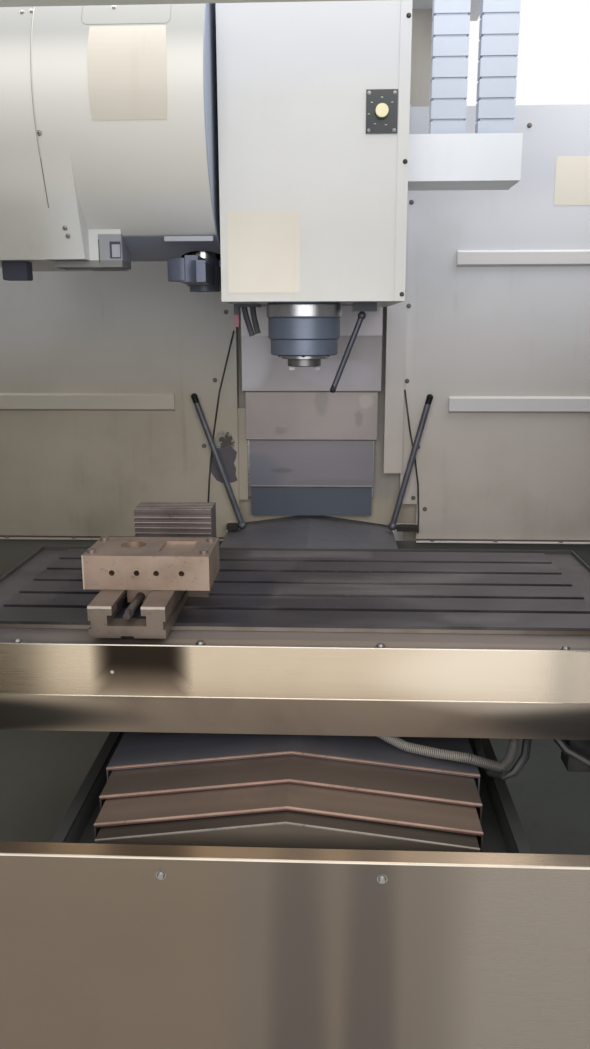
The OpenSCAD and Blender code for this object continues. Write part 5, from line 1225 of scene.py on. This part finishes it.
@dataclass
class Guard:
    """Sill screws, the painted highlight on the sill's edge, door windows, console, louvres and hinges on the guard.
    """

    sill_y: float = -1.267
    wall: float = 1.35
    fascia_y: float = -1.3
    console_y: float = -1.32
    back: float = 1.32
    window: Tuple[float, float, float, float] = (0.682, 1.142, 1.2205, 1.9755)
    gasket: float = 0.016
    gap: float = 0.002
    leaf: Pair = (-1.2532, -1.247)

    def build(self, screws: Screws) -> None:
        """Builds and dresses the pieces on the guard."""
        spots = [((x, self.sill_y, z), FRONT) for x, z in ((-0.202, 0.768), (0.164, 0.771))]
        screws.fit("sill_screws", "frame", "sill_steel", spots, 0.0068)
        edge = [((x, self.fascia_y, z), FRONT) for x in (-1.3, 1.3) for z in (0.15, 0.8, 1.45, 2.25)]
        edge += [((x, self.fascia_y, 2.2), FRONT) for x in (-0.9, -0.3, 0.3, 0.9)]
        edge += [((s * self.wall, y, z), (s, 0, 0)) for s in (-1, 1) for y in (-1.22, -0.4, 0.4)
                 for z in (0.2, 1.2, 2.2)]
        screws.fit("guard_screws", "frame", "panel_paint", edge, 0.007)
        # A bright strip on the sill's top edge: a painted highlight.
        Piece("sill_edge", "frame", "sill_steel", "sill_edge_highlight").prism(
            [(-1.2676, 0.7975), (-1.2662, 0.7968), (-1.2645, 0.8006), (-1.2668, 0.8006)], Axis.X, -0.6245,
            0.6245).keep()
        self.windows()
        self.console(screws)
        self.cabinet()

    def windows(self) -> None:
        """Panes in rubber frames in both faces of the doors."""
        x0, x1, z0, z1 = self.window
        wide, gap = self.gasket, self.gap
        panes = ((x0 + gap, x1 - gap, z0 + gap, z1 - gap),)
        strips = ((x0, x1, z0, z0 + wide), (x0, x1, z1 - wide, z1), (x0, x0 + wide, z0 + wide, z1 - wide),
                  (x1 - wide, x1, z0 + wide, z1 - wide))
        for side, tag in ((-1, "left"), (1, "right")):
            for piece, near, far, parts in (
                    (Piece(f"window_{tag}", f"{tag}_door", "panel_plate", "window_pane", 0.0008), 0.0, 0.004, panes),
                    (Piece(f"gasket_{tag}", f"{tag}_door", "hose_rubber", "gasket_rubber", 0.002), 0.003, 0.0115,
                     strips)):
                for y, out in zip(self.leaf, (-1, 1)):
                    for a, b, low, high in parts:
                        left, right = sorted((side * a, side * b))
                        fore, aft = sorted((y + out * near, y + out * far))
                        piece.block((left, fore, low), (right, aft, high))
                piece.keep()

    def console(self, screws: Screws) -> None:
        """Screen, keys and knobs of the operator's console."""
        y = self.console_y
        Piece("console_screen", "frame", "panel_plate", "screen_glass", 0.0006).block(
            (0.834, y + 0.0045, 1.454), (1.146, y + 0.0062, 1.746)).keep()
        keys = [((0.837 + i * 0.034, y + 0.0001, 1.277 + j * 0.034), FRONT) for i in range(8) for j in range(4)]
        pad_growth().grow("console_keys", "frame", "cream_plastic", "key_caps", seed_points(keys), 0.022, 0.022,
                          0.0024)
        knobs = Piece("console_knobs", "frame", "chain_plastic", "knob_black", 0.0008)
        for x in (0.85, 0.92, 0.99):
            for radius, base, tip in ((0.019, 0.0, 0.006), (0.014, 0.006, 0.022)):
                spot = Matrix.Translation((x, y + 0.003 - (base + tip) / 2, 1.222))
                knobs.cone(28, (radius, radius * 0.9), tip - base, spot @ Matrix.Rotation(math.pi / 2, 4, "X"))
            knobs.block((x - 0.0018, y - 0.0195, 1.212), (x + 0.0018, y - 0.0185, 1.236))
        knobs.keep()
        rim = [((x, y, z), FRONT) for x in (0.792, 1.188) for z in (1.172, 1.788)]
        screws.fit("console_screws", "frame", "panel_plate", rim, 0.005)

    def cabinet(self) -> None:
        """Louvres and hinges of the electrical cabinet."""
        slots = [((x, self.back - 0.0062, base + 0.035 * i), BACK) for x in (-0.22, 0.16) for base in (1.2, 1.95)
                 for i in range(7)]
        pad_growth().grow("cabinet_louvres", "rear_door", "panel_paint", "guard_paint", seed_points(slots), 0.26,
                          0.022, 0.014)
        hinges = Piece("cabinet_hinges", "frame", "chrome_ring", "screw_steel", 0.0008)
        for z in (1.2, 1.68, 2.16):
            for part in (0, 1):
                hinges.cone(20, (0.006, 0.006), 0.034, Matrix.Translation((-0.47, 1.3135, z + part * 0.036)))
        hinges.keep()


@dataclass
class Studio:
    """Floor, lamps, world and the camera at the photograph's viewing angle."""

    lens: float = 29.763
    sensor: float = 36.0
    near: float = 0.05
    eye: Point = (0.0768, -2.5295, 1.6566)
    pitch: float = 12.92
    yaw: float = 2.49
    roll: float = -0.12
    sky: Tuple[float, float, float, float] = (0.93, 0.96, 1.0, 1.0)
    sky_strength: float = 0.9
    floor_half: float = 20.0

    def lamp(self, name: str, place: Point, aim: Point, size: Pair, power: float, colour: Point) -> None:
        """Adds a soft rectangular lamp that looks at a point."""
        data = bpy.data.lights.new(name, "AREA")
        data.shape = "RECTANGLE"
        data.size, data.size_y = size
        data.energy = power
        data.color = colour
        lamp = to_scene(name, data)
        lamp.location = place
        lamp.rotation_euler = (Vector(aim) - Vector(place)).to_track_quat("-Z", "Y").to_euler()

    def camera(self) -> None:
        """Places the camera of the photograph."""
        data = bpy.data.cameras.new("photo_camera")
        data.sensor_fit = "VERTICAL"
        data.sensor_height = self.sensor
        data.lens = self.lens
        data.clip_start = self.near
        pitch, yaw, roll = (math.radians(v) for v in (self.pitch, self.yaw, self.roll))
        forward = Vector((-math.sin(yaw) * math.cos(pitch), math.cos(yaw) * math.cos(pitch), -math.sin(pitch)))
        flat = Vector((math.cos(yaw), math.sin(yaw), 0.0))
        upward = flat.cross(forward)
        right = flat * math.cos(roll) + upward * math.sin(roll)
        top = upward * math.cos(roll) - flat * math.sin(roll)
        camera = to_scene("photo_camera", data)
        camera.matrix_world = Matrix.Translation(self.eye) @ Matrix((right, top, -forward)).transposed().to_4x4()
        bpy.context.scene.camera = camera

    def floor(self) -> None:
        """Makes the pale floor."""
        bm = bmesh.new()
        bmesh.ops.create_grid(bm, x_segments=1, y_segments=1, size=self.floor_half)
        floor = from_bmesh("studio_floor", bm)
        g = Graph("studio_floor")
        floor.data.materials.append(g.finish(g.mix(g.noise(0.8, 3) * 0.2, 0xD6D5D2, 0xCECDC9), 0.7))

    def world(self) -> None:
        """Makes the pale world, plain white to the camera and to mirrors."""
        world = bpy.data.worlds.new("studio_world")
        world.use_nodes = True
        bpy.context.scene.world = world
        tree = Tree(world.node_tree)
        back = tree.tree.nodes["Background"]
        back.inputs["Color"].default_value = self.sky
        back.inputs["Strength"].default_value = self.sky_strength
        white = tree.add("ShaderNodeBackground", {}, {"Color": (1.0, 1.0, 1.0, 1.0), "Strength": 1.0})
        path = tree.add("ShaderNodeLightPath", {}, {}).outputs
        seen = path["Is Camera Ray"]
        for ray in ("Is Glossy Ray", "Is Transmission Ray"):
            seen = tree.add("ShaderNodeMath", {"use_clamp": True}, {0: seen, 1: path[ray]}).outputs[0]
        blend = tree.add("ShaderNodeMixShader", {}, {0: seen, 1: back.outputs[0], 2: white.outputs[0]})
        tree.tree.links.new(blend.outputs[0], tree.tree.nodes["World Output"].inputs[0])

    def build(self) -> None:
        """Builds the whole studio."""
        self.camera()
        self.floor()
        self.world()
        self.lamp("shop_lamp", (0.3, -0.5, 4.2), (0.1, 0.0, 1.0), (3.2, 2.6), 55.0, (0.97, 0.985, 1.0))
        self.lamp("window_lamp", (1.9, 0.2, 3.2), (0.2, 0.2, 1.6), (1.2, 1.6), 30.0, (0.95, 0.975, 1.0))
        self.lamp("front_lamp", (0.5, -6.2, 3.0), (0.0, 0.0, 1.2), (5.8, 3.2), 245.0, (1.0, 0.975, 0.94))
        bpy.context.scene.view_settings.view_transform = "Standard"


def main() -> None:
    """Builds the studio, dresses the CAD nodes and adds the pieces."""
    logging.basicConfig(level=logging.INFO, format="%(name)s: %(message)s")
    Studio().build()
    DRESS.nodes()
    screws, plates = Screws(), Plates()
    Drum().build(screws, plates)
    Head().build(screws, plates)
    WayCover().build()
    RearWall().build(screws, plates)
    TableDress().build(screws)
    Hoses().build()
    Guard().build(screws)


if __name__ == "__main__":
    main()
